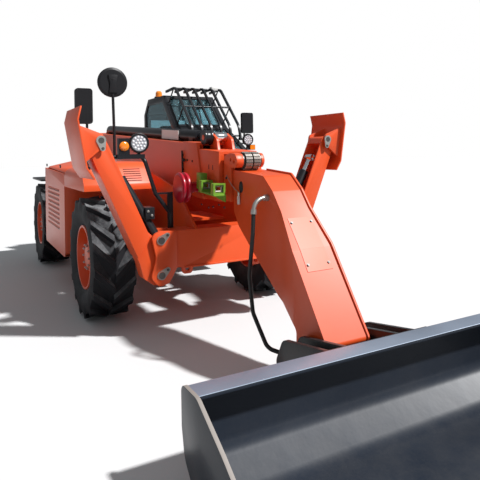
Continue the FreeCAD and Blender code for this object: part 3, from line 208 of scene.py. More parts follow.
def makeDustGroup():
    # road dust: thick near the ground and on faces that look up, broken by noise; on the tyres the pale colour on faces
    # that look up is also a painted highlight of the lit tread
    group, start, end = newGroup("roadDust", [
        ("Color", "NodeSocketColor", (0.5, 0.5, 0.5, 1)),
        ("Dust Color", "NodeSocketColor", (0.33, 0.29, 0.24, 1)),
        ("Amount", "NodeSocketFloat", 0.3),
        ("Height", "NodeSocketFloat", 1.0),
        ("Upward", "NodeSocketFloat", 0.2),
        ("Roughness", "NodeSocketFloat", 0.4),
    ], [("Color", "NodeSocketColor"), ("Roughness", "NodeSocketFloat")])
    tree = group
    place = tree.nodes.new("ShaderNodeTexCoord")
    split = tree.nodes.new("ShaderNodeSeparateXYZ")
    tree.links.new(place.outputs["Object"], split.inputs[0])
    low = addMath(tree, "DIVIDE", split.outputs["Z"], start.outputs["Height"])
    low = addMath(tree, "SUBTRACT", 1.0, low, clamp=True)
    face = tree.nodes.new("ShaderNodeNewGeometry")
    turn = tree.nodes.new("ShaderNodeSeparateXYZ")
    tree.links.new(face.outputs["Normal"], turn.inputs[0])
    up = addMath(tree, "MAXIMUM", turn.outputs["Z"], 0.0)
    up = addMath(tree, "MULTIPLY", up, start.outputs["Upward"])
    blotch = addRamp(tree, addNoise(tree, place.outputs["Object"], 5.0, 8.0, 0.65), 0.35, 0.7)
    speck = addRamp(tree, addNoise(tree, place.outputs["Object"], 60.0, 3.0, 0.6), 0.3, 0.75)
    grain = addMath(tree, "ADD", addMath(tree, "MULTIPLY", blotch, 0.7), addMath(tree, "MULTIPLY", speck, 0.3))
    reach = addMath(tree, "ADD", low, up)
    mask = addMath(tree, "MULTIPLY", addMath(tree, "MULTIPLY", reach, grain), start.outputs["Amount"], clamp=True)
    mix = tree.nodes.new("ShaderNodeMix")
    mix.data_type = "RGBA"
    tree.links.new(mask, mix.inputs[0])
    tree.links.new(start.outputs["Color"], mix.inputs[6])
    tree.links.new(start.outputs["Dust Color"], mix.inputs[7])
    tree.links.new(mix.outputs[2], end.inputs["Color"])
    dull = addMath(tree, "MULTIPLY", mask, 0.5)
    tree.links.new(addMath(tree, "ADD", start.outputs["Roughness"], dull, clamp=True), end.inputs["Roughness"])
    return group


def makeToneGroup():
    # slow and fine changes of tone in one colour
    group, start, end = newGroup("toneShift", [
        ("Color", "NodeSocketColor", (0.5, 0.5, 0.5, 1)),
        ("Other", "NodeSocketColor", (0.4, 0.4, 0.4, 1)),
        ("Scale", "NodeSocketFloat", 2.0),
        ("Amount", "NodeSocketFloat", 0.5),
    ], [("Color", "NodeSocketColor"), ("Mask", "NodeSocketFloat")])
    tree = group
    place = tree.nodes.new("ShaderNodeTexCoord")
    noise = tree.nodes.new("ShaderNodeTexNoise")
    noise.inputs["Detail"].default_value = 6.0
    tree.links.new(place.outputs["Object"], noise.inputs["Vector"])
    tree.links.new(start.outputs["Scale"], noise.inputs["Scale"])
    mask = addRamp(tree, noise.outputs["Fac"], 0.3, 0.7)
    mask = addMath(tree, "MULTIPLY", mask, start.outputs["Amount"])
    mix = tree.nodes.new("ShaderNodeMix")
    mix.data_type = "RGBA"
    tree.links.new(mask, mix.inputs[0])
    tree.links.new(start.outputs["Color"], mix.inputs[6])
    tree.links.new(start.outputs["Other"], mix.inputs[7])
    tree.links.new(mix.outputs[2], end.inputs["Color"])
    tree.links.new(mask, end.inputs["Mask"])
    return group


def makeGrainGroup():
    # a fine bump in two sizes, for paint, castings and moulded plastic
    group, start, end = newGroup("surfaceGrain", [
        ("Scale", "NodeSocketFloat", 40.0),
        ("Strength", "NodeSocketFloat", 0.1),
        ("Depth", "NodeSocketFloat", 0.001),
    ], [("Normal", "NodeSocketVector")])
    tree = group
    place = tree.nodes.new("ShaderNodeTexCoord")
    coarse = tree.nodes.new("ShaderNodeTexNoise")
    coarse.inputs["Detail"].default_value = 5.0
    tree.links.new(place.outputs["Object"], coarse.inputs["Vector"])
    tree.links.new(start.outputs["Scale"], coarse.inputs["Scale"])
    bump = tree.nodes.new("ShaderNodeBump")
    tree.links.new(start.outputs["Strength"], bump.inputs["Strength"])
    tree.links.new(start.outputs["Depth"], bump.inputs["Distance"])
    tree.links.new(coarse.outputs["Fac"], bump.inputs["Height"])
    tree.links.new(bump.outputs["Normal"], end.inputs["Normal"])
    return group


groups = {"dust": makeDustGroup(), "tone": makeToneGroup(), "grain": makeGrainGroup()}


def placeGroup(tree, name, **values):
    node = tree.nodes.new("ShaderNodeGroup")
    node.node_tree = groups[name]
    for label, value in values.items():
        socket = node.inputs[label.replace("_", " ")]
        if isinstance(value, bpy.types.NodeSocket):
            tree.links.new(value, socket)
        else:
            socket.default_value = value
    return node


# one row a finish: colour, second tone, roughness, metallic, coat, highlight strength, dust and its height,
# dust on faces that look up, grain scale, grain strength
finishes = {
    "orangePaint": dict(color=(0.76, 0.086, 0.012), other=(0.68, 0.068, 0.009), rough=0.42, coat=0.5, shine=0.3,
                        coatRough=0.45, dust=0.07, height=1.0, upward=0.3, grain=18.0, bump=0.05),
    "blackPaint": dict(color=(0.009, 0.010, 0.013), other=(0.016, 0.017, 0.02), rough=0.34, coat=0.03, shine=0.25,
                       dust=0.08, height=1.0, upward=0.3, grain=30.0, bump=0.05),
    "blackPlastic": dict(color=(0.009, 0.009, 0.011), other=(0.017, 0.017, 0.018), rough=0.42, shine=0.25, dust=0.06,
                         height=1.4, upward=0.3, grain=220.0, bump=0.1),
    "seatCloth": dict(color=(0.022, 0.022, 0.025), other=(0.036, 0.036, 0.038), rough=0.85, shine=0.2, dust=0.1,
                      height=0.5, upward=0.3, grain=420.0, bump=0.3),
    "castWeight": dict(color=(0.018, 0.019, 0.022), other=(0.032, 0.032, 0.034), rough=0.6, shine=0.3, dust=0.3,
                       height=1.2, upward=0.3, grain=35.0, bump=0.35),
    "engineIron": dict(color=(0.06, 0.06, 0.065), other=(0.03, 0.03, 0.033), rough=0.6, dust=0.4, height=1.4,
                       upward=0.3, grain=25.0, bump=0.3),
    "rodChrome": dict(color=(0.80, 0.81, 0.83), other=(0.70, 0.71, 0.73), rough=0.12, metal=1.0, dust=0.0, height=1.0,
                      upward=0.0, grain=60.0, bump=0.01),
    "zincSteel": dict(color=(0.50, 0.49, 0.46), other=(0.32, 0.31, 0.29), rough=0.36, metal=0.85, dust=0.1, height=1.2,
                      upward=0.2, grain=120.0, bump=0.08),
    "oiledSteel": dict(color=(0.13, 0.125, 0.12), other=(0.06, 0.058, 0.055), rough=0.42, metal=0.8, dust=0.08,
                       height=1.0, upward=0.2, grain=160.0, bump=0.1),
    "chainSteel": dict(color=(0.34, 0.31, 0.28), other=(0.20, 0.18, 0.16), rough=0.45, metal=0.5, dust=0.1,
                       height=1.0, upward=0.2, grain=160.0, bump=0.1),
    "bucketPaint": dict(color=(0.011, 0.016, 0.026), other=(0.020, 0.026, 0.038), rough=0.36, coat=0.08, shine=0.25,
                        dust=0.05, height=0.6, upward=0.3, grain=5.0, bump=0.35),
    # the bucket lip's faces that look up: a lighter copy of the bucket's blue, painted highlight of the lit top
    "bandSteel": dict(color=(0.24, 0.29, 0.37), other=(0.12, 0.15, 0.20), rough=0.4, metal=0.25, coat=0.1, dust=0.1,
                      height=0.9, upward=0.3, grain=26.0, bump=0.3),
    "endPlate": dict(color=(0.30, 0.27, 0.25), other=(0.18, 0.15, 0.13), rough=0.6, dust=0.2, height=0.8,
                     upward=0.2, grain=24.0, bump=0.3),
    "wornSteel": dict(color=(0.30, 0.29, 0.28), other=(0.16, 0.13, 0.11), rough=0.45, metal=0.7, dust=0.3, height=0.5,
                      upward=0.2, grain=50.0, bump=0.2),
    "reelPaint": dict(color=(0.50, 0.008, 0.030), other=(0.38, 0.006, 0.022), rough=0.34, coat=0.3, shine=0.4,
                      dust=0.05, height=1.0, upward=0.15, grain=20.0, bump=0.04),
    "guidePaint": dict(color=(0.16, 0.34, 0.03), other=(0.11, 0.26, 0.02), rough=0.4, coat=0.1, shine=0.4, dust=0.1,
                       height=1.0, upward=0.2, grain=30.0, bump=0.06),
    "hoseRubber": dict(color=(0.008, 0.008, 0.009), other=(0.015, 0.015, 0.015), rough=0.5, shine=0.35, dust=0.05,
                       height=0.8, upward=0.2, grain=260.0, bump=0.15),
    # tyres: faces that look up take a pale grey-blue, partly road dust and partly a painted highlight of the lit tread
    "tyreRubber": dict(color=(0.010, 0.010, 0.013), other=(0.020, 0.020, 0.022), rough=0.7, shine=0.18,
                       dustColor=(0.34, 0.35, 0.36), dust=0.9, height=0.05, upward=0.95, grain=90.0, bump=0.25),
    "mirrorGlass": dict(color=(0.85, 0.87, 0.88), other=(0.82, 0.84, 0.85), rough=0.03, metal=1.0, dust=0.0, height=1.0,
                        upward=0.0, grain=5.0, bump=0.0),
    "lampChrome": dict(color=(0.88, 0.88, 0.88), other=(0.80, 0.80, 0.80), rough=0.08, metal=1.0, dust=0.0, height=1.0,
                       upward=0.0, grain=5.0, bump=0.0),
    "lensGrey": dict(color=(0.34, 0.36, 0.39), other=(0.24, 0.26, 0.29), rough=0.2, coat=0.4, dust=0.0, height=1.0,
                     upward=0.0, grain=40.0, bump=0.05),
    "lensDots": dict(color=(0.92, 0.93, 0.95), other=(0.80, 0.82, 0.86), rough=0.12, coat=0.8, dust=0.0, height=1.0,
                     upward=0.0, grain=40.0, bump=0.05),
    "amberLens": dict(color=(0.90, 0.27, 0.015), other=(0.80, 0.20, 0.01), rough=0.16, coat=0.6, dust=0.05, height=1.0,
                      upward=0.1, grain=90.0, bump=0.1),
    "redLens": dict(color=(0.55, 0.012, 0.010), other=(0.42, 0.010, 0.008), rough=0.16, coat=0.6, dust=0.1, height=1.0,
                    upward=0.1, grain=90.0, bump=0.1),
    "whitePlate": dict(color=(0.75, 0.75, 0.73), other=(0.62, 0.62, 0.60), rough=0.4, dust=0.1, height=1.0,
                       upward=0.1, grain=40.0, bump=0.03),
}


def makeFinish(name):
    row = finishes[name]
    shade = bpy.data.materials.new(name)
    shade.use_nodes = True
    tree = shade.node_tree
    bsdf = tree.nodes["Principled BSDF"]
    tone = placeGroup(tree, "tone", Color=(*row["color"], 1), Other=(*row["other"], 1), Scale=1.7, Amount=0.7)
    dust = placeGroup(tree, "dust", Color=tone.outputs["Color"], Amount=row["dust"], Height=row["height"],
                      Upward=row["upward"], Roughness=row["rough"],
                      Dust_Color=(*row.get("dustColor", (0.33, 0.29, 0.24)), 1))
    grain = placeGroup(tree, "grain", Scale=row["grain"], Strength=row["bump"], Depth=0.004)
    tree.links.new(dust.outputs["Color"], bsdf.inputs["Base Color"])
    tree.links.new(dust.outputs["Roughness"], bsdf.inputs["Roughness"])
    tree.links.new(grain.outputs["Normal"], bsdf.inputs["Normal"])
    bsdf.inputs["Metallic"].default_value = row.get("metal", 0.0)
    bsdf.inputs["Coat Weight"].default_value = row.get("coat", 0.0)
    bsdf.inputs["Coat Roughness"].default_value = row.get("coatRough", 0.12)
    bsdf.inputs["Specular IOR Level"].default_value = row.get("shine", 0.5)
    return shade


def makeGlass(name, color, rough):
    shade = bpy.data.materials.new(name)
    shade.use_nodes = True
    tree = shade.node_tree
    bsdf = tree.nodes["Principled BSDF"]
    bsdf.inputs["Transmission Weight"].default_value = 0.9
    bsdf.inputs["IOR"].default_value = 1.1
    tone = placeGroup(tree, "tone", Color=(*color, 1), Other=(*[c * 0.93 for c in color], 1), Scale=3.0, Amount=0.6)
    tree.links.new(tone.outputs["Color"], bsdf.inputs["Base Color"])
    bsdf.inputs["Roughness"].default_value = rough
    bsdf.inputs["Coat Weight"].default_value = 0.35
    return shade


shades = {name: makeFinish(name) for name in finishes}
shades["tintedGlass"] = makeGlass("tintedGlass", (0.36, 0.58, 0.64), 0.015)
shades["lampGlass"] = makeGlass("lampGlass", (0.92, 0.94, 0.95), 0.03)

# the record's material slots and the finish that each one takes
slotShades = {
    "orange_paint": "orangePaint",
    "black_paint": "blackPaint",
    "rod_chrome": "rodChrome",
    "fender_plastic": "blackPlastic",
    "cast_weight": "castWeight",
    "engine_iron": "engineIron",
    "tinted_glass": "tintedGlass",
    "seat_fabric": "seatCloth",
    "bucket_paint": "bucketPaint",
    "reel_paint": "reelPaint",
    "guide_paint": "guidePaint",
    "chain_steel": "oiledSteel",
    "hose_rubber": "hoseRubber",
    "mirror_plastic": "blackPlastic",
    "amber_lens": "amberLens",
    "tyre": "tyreRubber",
}
print("finishes")


# mesh helpers

def finishMesh(bm, name, shadeNames, body, smooth=32, replaced=()):
    # closes a bmesh into a piece that rides on a body; faces turn smooth below the given angle
    bmesh.ops.recalc_face_normals(bm, faces=bm.faces)
    for face in bm.faces:
        face.smooth = True
    for edge in bm.edges:
        edge.smooth = len(edge.link_faces) == 2 and edge.calc_face_angle(0) < math.radians(smooth)
        if edge.smooth and edge.calc_face_angle(0) > math.radians(2) and min(f.calc_area() for f in edge.link_faces) > 0.03:
            edge.smooth = False   # a fold between two large flat faces
    mesh = bpy.data.meshes.new(name)
    bm.to_mesh(mesh)
    bm.free()
    for shadeName in shadeNames:
        mesh.materials.append(shades[shadeName])
    piece = bpy.data.objects.new(name, mesh)
    bpy.context.scene.collection.objects.link(piece)
    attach(piece, body)
    if replaced:
        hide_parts(*replaced)
    return piece


def weldedCopy(node):
    # a bmesh of a solid from the drawing, its triangles merged back into flat faces
    bm = bmesh.new()
    bm.from_mesh(frame["nodes"][node].data)
    bmesh.ops.remove_doubles(bm, verts=bm.verts, dist=0.00002)
    bmesh.ops.dissolve_limit(bm, angle_limit=math.radians(0.6), verts=bm.verts, edges=bm.edges)
    return bm


def softenEdges(bm, width, segments=2, angle=28):
    sharp = [e for e in bm.edges if len(e.link_faces) == 2 and e.calc_face_angle(0) > math.radians(angle)]
    bmesh.ops.bevel(bm, geom=sharp, offset=width, offset_type="OFFSET", segments=segments, profile=0.5,
                    affect="EDGES", clamp_overlap=True, material=-1)


# edge round of each plain solid that is only dressed, in metres
dressed = {
    "main_frame": 0.004, "front_crossbeam": 0.005, "counterweight": 0.012, "front_axle": 0.004, "rear_axle": 0.004,
    "engine_block": 0.006, "engine_pod": 0.0025, "engine_hood": 0.002, "drive_shaft": 0.004, "cab_shell": 0.004,
    "door_frame": 0.004, "console": 0.004, "front_fender_left": 0.006, "rear_fenders": 0.006, "fuel_tank": 0.004,
    "boom_outer": 0.003, "boom_second": 0.003, "boom_third": 0.003, "boom_inner": 0.004, "extension_barrel": 0.003,
    "extension_rod": 0.001, "hose_reel": 0.003, "hose_guide": 0.001, "coupler": 0.004, "bucket": 0.004,
    "lift_barrel": 0.003, "lift_rod": 0.001, "tilt_barrel": 0.003, "tilt_rod": 0.001,
}
for side in ("left", "right"):
    dressed["stabilizer_arm_" + side] = 0.003
    dressed["stabilizer_foot_" + side] = 0.003
    dressed["stabilizer_barrel_" + side] = 0.002
    dressed["stabilizer_rod_" + side] = 0.001
for code in ("fl", "fr", "rl", "rr"):
    dressed["knuckle_" + code] = 0.004
    dressed["rim_" + code] = 0.002
    dressed["tyre_" + code] = 0.005


def pieceName(node):
    first, *rest = node.split("_")
    return first + "".join(word.capitalize() for word in rest)


def bucketShade(face):
    # the lip's faces that look up take a lighter blue-grey, a painted highlight of their lit top; the end plates' rims
    # are bare and lighter than the painted trough
    middle, normal = face.calc_center_median(), face.normal
    if abs(middle.y) > bucketParts["endFrom"] and abs(normal.y) < 0.5:
        return 2
    # faces of the lip that look up: painted highlight
    if middle.z > bucketParts["lipFrom"] and normal.z > 0.5:
        return 1
    return 0


bucketParts = {"endFrom": 1.204, "lipFrom": 0.470, "shades": ["bucketPaint", "bandSteel", "endPlate"]}
# nodes with more than one finish: their finishes, and which one each face takes
faceShades = {"bucket": (bucketParts["shades"], bucketShade)}


def dressNode(node, width):
    bm = weldedCopy(node)
    softenEdges(bm, width)
    names, pick = faceShades.get(node, ([slotShades[slotOf[node]]], None))
    if pick:
        bm.normal_update()
        for face in bm.faces:
            face.material_index = pick(face)
    return finishMesh(bm, pieceName(node), names, bodyOf[node], replaced=[node])


for node, width in dressed.items():
    if node in frame["nodes"]:
        dressNode(node, width)
for node, obj in frame["nodes"].items():
    if node not in dressed:
        obj.data.materials.clear()
        obj.data.materials.append(shades[slotShades[slotOf[node]]])
print("solids dressed")

# helpers for the added pieces

def addBox(bm, low, high):
    low, high = Vector(low), Vector(high)
    place = Matrix.Translation((low + high) / 2) @ Matrix.Diagonal((*(high - low), 1))
    return bmesh.ops.create_cube(bm, size=1, matrix=place)["verts"]


def addRod(bm, start, end, radius, sides=24, endRadius=None):
    axis = end - start
    turn = axis.to_track_quat("Z", "Y").to_matrix().to_4x4()
    place = Matrix.Translation((start + end) / 2) @ turn
    far = radius if endRadius is None else endRadius
    bmesh.ops.create_cone(bm, cap_ends=True, segments=sides, radius1=radius, radius2=far, depth=axis.length, matrix=place)


def addBolt(bm, place, normal, size=0.012):
    # a washer and a six-sided head that stand on a face
    normal = Vector(normal).normalized()
    addRod(bm, place - normal * 0.001, place + normal * 0.003, size * 1.25, 20)
    addRod(bm, place + normal * 0.002, place + normal * (0.003 + size * 0.75), size, 6)


def addTube(bm, points, radius, sides=16):
    # a round tube swept along points by extruding one circle
    ahead = (points[1] - points[0]).normalized()
    place = Matrix.Translation(points[0]) @ ahead.to_track_quat("Z", "Y").to_matrix().to_4x4()
    ring = bmesh.ops.create_circle(bm, cap_ends=True, segments=sides, radius=radius, matrix=place)["verts"]
    edges = list({e for v in ring for e in v.link_edges if all(end in ring for end in e.verts)})
    for i in range(1, len(points)):
        grown = bmesh.ops.extrude_edge_only(bm, edges=edges)["geom"]
        verts = [g for g in grown if isinstance(g, bmesh.types.BMVert)]
        edges = [g for g in grown if isinstance(g, bmesh.types.BMEdge) and all(v in verts for v in g.verts)]
        last = (points[i] - points[i - 1]).normalized()
        following = (points[i + 1] - points[i]).normalized() if i + 1 < len(points) else last
        turn = ahead.rotation_difference((last + following).normalized()).to_matrix()
        for v in verts:
            v.co = points[i] + turn @ (v.co - points[i - 1])
        ahead = (last + following).normalized()
    bmesh.ops.edgenet_fill(bm, edges=edges)


def bentPath(points, bend, steps=8):
    # straight runs joined by round bends, as points close together
    path = [points[0]]
    for i in range(1, len(points) - 1):
        here = points[i]
        toLast = (points[i - 1] - here).normalized()
        toNext = (points[i + 1] - here).normalized()
        half = toLast.angle(toNext) / 2
        reach = bend / math.tan(half)
        centre = here + (toLast + toNext).normalized() * (bend / math.sin(half))
        first = here + toLast * reach - centre
        last = here + toNext * reach - centre
        for k in range(steps + 1):
            path.append(centre + first.slerp(last, k / steps) * bend)
    path.append(points[-1])
    return path


def addPrism(bm, points, push):
    # a flat outline given in space, extruded along a vector
    verts = [bm.verts.new(point) for point in points]
    face = bm.faces.new(verts)
    grown = bmesh.ops.extrude_face_region(bm, geom=[face])["geom"]
    bmesh.ops.translate(bm, vec=push, verts=[g for g in grown if isinstance(g, bmesh.types.BMVert)])


def makePiece(name, body, parts, smooth=32, edge=0.0, replaced=()):
    # parts: (finish, function that adds its faces to the bmesh)
    bm = bmesh.new()
    for index, (shadeName, build) in enumerate(parts):
        before = set(bm.faces)
        build(bm)
        for face in bm.faces:
            if face not in before:
                face.material_index = index
    if edge:
        softenEdges(bm, edge)
    return finishMesh(bm, name, [shadeName for shadeName, _ in parts], body, smooth, replaced)


# neck: cover plate, bolts, oval plate with its lanyard and tag

neckFace = {"top": at(1.990, 0, 1.300), "knee": at(2.290, 0, 0.920), "foot": at(2.668, 0, 0.356)}
coverBolts = [(2.161, -0.087, 1.084), (2.161, 0.080, 1.084), (2.354, -0.091, 0.825), (2.353, 0.081, 0.825)]


def faceNormal(low, high):
    slope = (high - low).normalized()
    return Vector((slope.z, 0, -slope.x)) if slope.z > 0 else Vector((-slope.z, 0, slope.x))


def makeNeckTrim():
    upper = faceNormal(neckFace["knee"], neckFace["top"])
    lower = faceNormal(neckFace["foot"], neckFace["knee"])

    def cover(bm):
        # a thin plate over the front, in two parts that meet at the knee
        for (x0, z0, y0), (x1, z1, y1), normal in (((2.136, 1.115, 0.104), (2.290, 0.920, 0.107), upper),
                                                   ((2.290, 0.920, 0.107), (2.380, 0.786, 0.110), lower)):
            points = [at(x0, -y0, z0), at(x1, -y1, z1), at(x1, y1 - 0.012, z1), at(x0, y0 - 0.012, z0)]
            addPrism(bm, [point - normal * 0.001 for point in points], normal * 0.0045)

    def bolts(bm):
        for x, y, z in coverBolts:
            normal = upper if z > 0.92 else lower
            addBolt(bm, at(x, y, z) + normal * 0.003, normal, 0.009)

    def ovalPlate(bm):
        start = at(1.510, -0.1295, 1.306)
        bmesh.ops.create_cone(bm, cap_ends=True, segments=32, radius1=0.034, radius2=0.030, depth=0.008,
                              matrix=Matrix.Translation(start) @ Matrix.Rotation(math.pi / 2, 4, "X")
                              @ Matrix.Diagonal((1, 1.5, 1, 1)))
        for dz in (-0.062, 0.062):
            addBolt(bm, at(1.510, -0.1335, 1.306 + dz * 0.55), (0, -1, 0), 0.006)

    def lanyard(bm):
        top = at(1.291, -0.150, 1.395)
        low = at(1.491, -0.142, 1.262)
        wire = [top.lerp(low, k / 8) + Vector((0, 0, -0.02 * math.sin(math.pi * k / 8))) for k in range(9)]
        addTube(bm, wire, 0.0035, 8)
        addRod(bm, low, at(1.491, -0.142, 1.235), 0.010, 12)

    def tag(bm):
        addBox(bm, at(1.478, -0.150, 1.165), at(1.502, -0.138, 1.232))

    makePiece("neckTrim", "boom_inner", [
        ("orangePaint", cover), ("oiledSteel", bolts), ("castWeight", ovalPlate), ("zincSteel", lanyard), ("whitePlate", tag)])


# crossbeam: pin keepers with their bolts

def addKeeper(bm, x, pinY, pinZ, tipY, tipZ, outward=1):
    # a teardrop plate that holds a pin against turning
    pin, tip = at(x, pinY, pinZ), at(x, tipY, tipZ)
    along = (tip - pin).normalized()
    across = Vector((1, 0, 0)).cross(along)
    big, small = 0.040, 0.022
    points = []
    for k in range(13):
        angle = math.pi / 2 + math.pi * k / 12
        points.append(pin + (along * math.cos(angle) + across * math.sin(angle)) * big)
    for k in range(9):
        angle = -math.pi / 2 + math.pi * k / 8
        points.append(tip + (along * math.cos(angle) + across * math.sin(angle)) * small)
    addPrism(bm, points, Vector((0.009 * outward, 0, 0)))


def makeKeepers():
    def plates(bm):
        for side in (-1, 1):
            for z in (0.850, 0.555):
                addKeeper(bm, 0.9945, side * 0.630, z, side * 0.575, z + 0.042)

    def bolts(bm):
        for side in (-1, 1):
            for z in (0.850, 0.555):
                addBolt(bm, at(1.0035, side * 0.575, z + 0.042), (1, 0, 0), 0.009)
                addRod(bm, at(1.0065, side * 0.630, z), at(1.0085, side * 0.630, z), 0.0295, 32)

    makePiece("pinKeepers", "chassis", [("zincSteel", plates), ("oiledSteel", bolts)])
    for side, word in ((-1, "Right"), (1, "Left")):
        def footPlate(bm):
            addKeeper(bm, 1.0225, side * 1.130, 1.700, side * 1.118, 1.636)

        def footBolt(bm):
            addBolt(bm, at(1.0315, side * 1.118, 1.636), (1, 0, 0), 0.009)
            addRod(bm, at(1.0285, side * 1.130, 1.700), at(1.0325, side * 1.130, 1.700), 0.0245, 32)

        makePiece("footKeeper" + word, "stabilizer_foot_" + word.lower(),
                  [("zincSteel", footPlate), ("oiledSteel", footBolt)])


# stabilizer cylinders: valve block with its screws

def makeValves():
    for side, word in ((-1, "Right"), (1, "Left")):
        def block(bm):
            addBox(bm, at(0.800, side * 0.665, 1.030), at(0.940, side * 0.745, 1.130))

        def screws(bm):
            for y, z in ((0.722, 1.098), (0.690, 1.062)):
                addBolt(bm, at(0.940, side * y, z), (1, 0, 0), 0.009)

        makePiece("valveBlock" + word, "stabilizer_barrel_" + word.lower(),
                  [("blackPaint", block), ("zincSteel", screws)], edge=0.003)


# lamps: lens with its dots, amber cover and rims

def makeLamps():
    # face centre (x, y, z) and radius of the two work lamps
    lamps = ((0.747, -0.730, 1.683, 0.088), (-0.075, 0.832, 1.729, 0.067))

    def lens(bm):
        for x, y, z, r in lamps:
            addRod(bm, at(x - 0.0005, y, z), at(x + 0.004, y, z), r * 0.80, 40)

    def rims(bm):
        for x, y, z, r in lamps:
            profile = [(-0.002, r * 0.80), (0.009, r * 0.83), (0.010, r * 0.93), (0.006, r), (-0.002, r), (-0.002, r * 0.80)]
            addTurned(bm, profile, at(x, y, z), Vector((1, 0, 0)), 48)
            for k in range(24):
                angle = 2 * math.pi * k / 24
                out = Vector((0, math.cos(angle), math.sin(angle)))
                addRod(bm, at(x - 0.028, y, z) + out * r, at(x - 0.002, y, z) + out * r, 0.0035, 8)

    def dots(bm):
        for x, y, z, r in lamps:
            for count, share in ((1, 0), (6, 0.32), (11, 0.62)):
                for k in range(count):
                    angle = 2 * math.pi * k / count
                    place = at(x + 0.0035, y + r * share * math.cos(angle), z + r * share * math.sin(angle))
                    addRod(bm, place, place + Vector((0.005, 0, 0)), r * 0.125, 12, r * 0.07)

    def amber(bm):
        dome = [(-0.002, 0), (-0.002, 0.042), (0.006, 0.042), (0.013, 0.034), (0.017, 0.018), (0.018, 0)]
        addTurned(bm, dome, at(0.745, -0.865, 1.655), Vector((1, 0, 0)), 32)
        addBox(bm, at(-0.0855, 0.862, 1.614), at(-0.074, 0.926, 1.666))

    makePiece("lampLenses", "chassis", [("lensGrey", lens), ("lensDots", dots), ("amberLens", amber)])
    makePiece("lampRims", "chassis", [("blackPlastic", rims)])


# mirror glass, facing the driver

def makeMirrorGlass():
    def glass(bm):
        addRod(bm, at(0.6925, -0.950, 2.211), at(0.6935, -0.950, 2.211), 0.112, 48)
        addBox(bm, at(0.0745, -1.138, 1.898), at(0.0775, -1.000, 2.210))
        addBox(bm, at(-0.9265, 1.215, 1.850), at(-0.9245, 1.355, 2.095))

    makePiece("mirrorGlass", "chassis", [("mirrorGlass", glass)])


# boom: its own frame has the pivot at the origin and the boom level

boomFrame = {"pivot": at(-3.350, 0, 1.700), "slope": math.radians(3.6), "reach": 4.728}


def onBoom(u, y, v):
    slope = boomFrame["slope"]
    return boomFrame["pivot"] + Vector((u * math.cos(slope) + v * math.sin(slope), y,
                                        v * math.cos(slope) - u * math.sin(slope)))


def boomDirection(u, v):
    return onBoom(u, 0, v) - onBoom(0, 0, 0)


def addBoomBox(bm, low, high):
    slope = Matrix.Rotation(boomFrame["slope"], 4, "Y")
    place = Matrix.Translation(boomFrame["pivot"]) @ slope
    low, high = Vector(low), Vector(high)
    size = Matrix.Diagonal((*(high - low), 1))
    return bmesh.ops.create_cube(bm, size=1, matrix=place @ Matrix.Translation((low + high) / 2) @ size)["verts"]


def addTurned(bm, profile, start, axis, steps=32):
    # a closed turned form from rows of (distance along the axis, radius), full spin
    side = Vector((0, 0, 1)) if abs(axis.z) < 0.9 else Vector((1, 0, 0))
    side = (side - axis * side.dot(axis)).normalized()
    verts = [bm.verts.new(start + axis * along + side * radius) for along, radius in profile]
    edges = [bm.edges.new(pair) for pair in zip(verts, verts[1:])]
    bmesh.ops.spin(bm, geom=verts + edges, cent=start, axis=axis, angle=2 * math.pi, steps=steps, use_merge=True)
    bmesh.ops.remove_doubles(bm, verts=[v for v in bm.verts if (v.co - start).length < 1.5], dist=0.00001)


# the two leaf chains: plates and pins along the drum's front and the ramp behind it

chain = {"drumU": 4.807, "drumV": 0.118, "round": 0.071, "pitch": 0.0245, "plates": 6, "width": 0.061,
         "rows": (-0.087, -0.014), "rampFoot": (4.617, 0.128)}


def chainStations():
    # centre and direction of each link, from the drum's underside up and back along the ramp
    stations = []
    step = chain["pitch"] / chain["round"]
    angle = -1.35
    while angle < math.pi / 2 - 0.2:
        u = chain["drumU"] + chain["round"] * math.cos(angle)
        v = chain["drumV"] + chain["round"] * math.sin(angle)
        stations.append((u, v, -math.sin(angle), math.cos(angle)))
        angle += step
    top = Vector((chain["drumU"], chain["drumV"] + chain["round"]))
    foot = Vector(chain["rampFoot"])
    run = foot - top
    along = run.normalized()
    for k in range(int(run.length / chain["pitch"])):
        place = top + along * chain["pitch"] * (k + 0.6)
        stations.append((place.x, place.y, along.x, along.y))
    return stations


def makeChains():
    stations = chainStations()
    gap = chain["width"] / chain["plates"]

    def plates(bm):
        for u, v, du, dv in stations:
            along = boomDirection(du, dv)
            out = boomDirection(dv, -du)
            turn = Matrix((along, Vector((0, 1, 0)), out)).transposed().to_4x4()
            for y0 in chain["rows"]:
                for k in range(chain["plates"]):
                    centre = onBoom(u, y0 + gap * (k + 0.5), v)
                    size = Matrix.Diagonal((chain["pitch"] * 0.84, gap * 0.72, 0.012, 1))
                    bmesh.ops.create_cube(bm, size=1, matrix=Matrix.Translation(centre) @ turn @ size)

    def pins(bm):
        for u, v, du, dv in stations:
            for y0 in chain["rows"]:
                addRod(bm, onBoom(u, y0 - 0.001, v), onBoom(u, y0 + chain["width"] + 0.001, v), 0.0045, 10)

    makePiece("leafChains", bodyOf["chain_drum"], [("chainSteel", plates), ("oiledSteel", pins)])
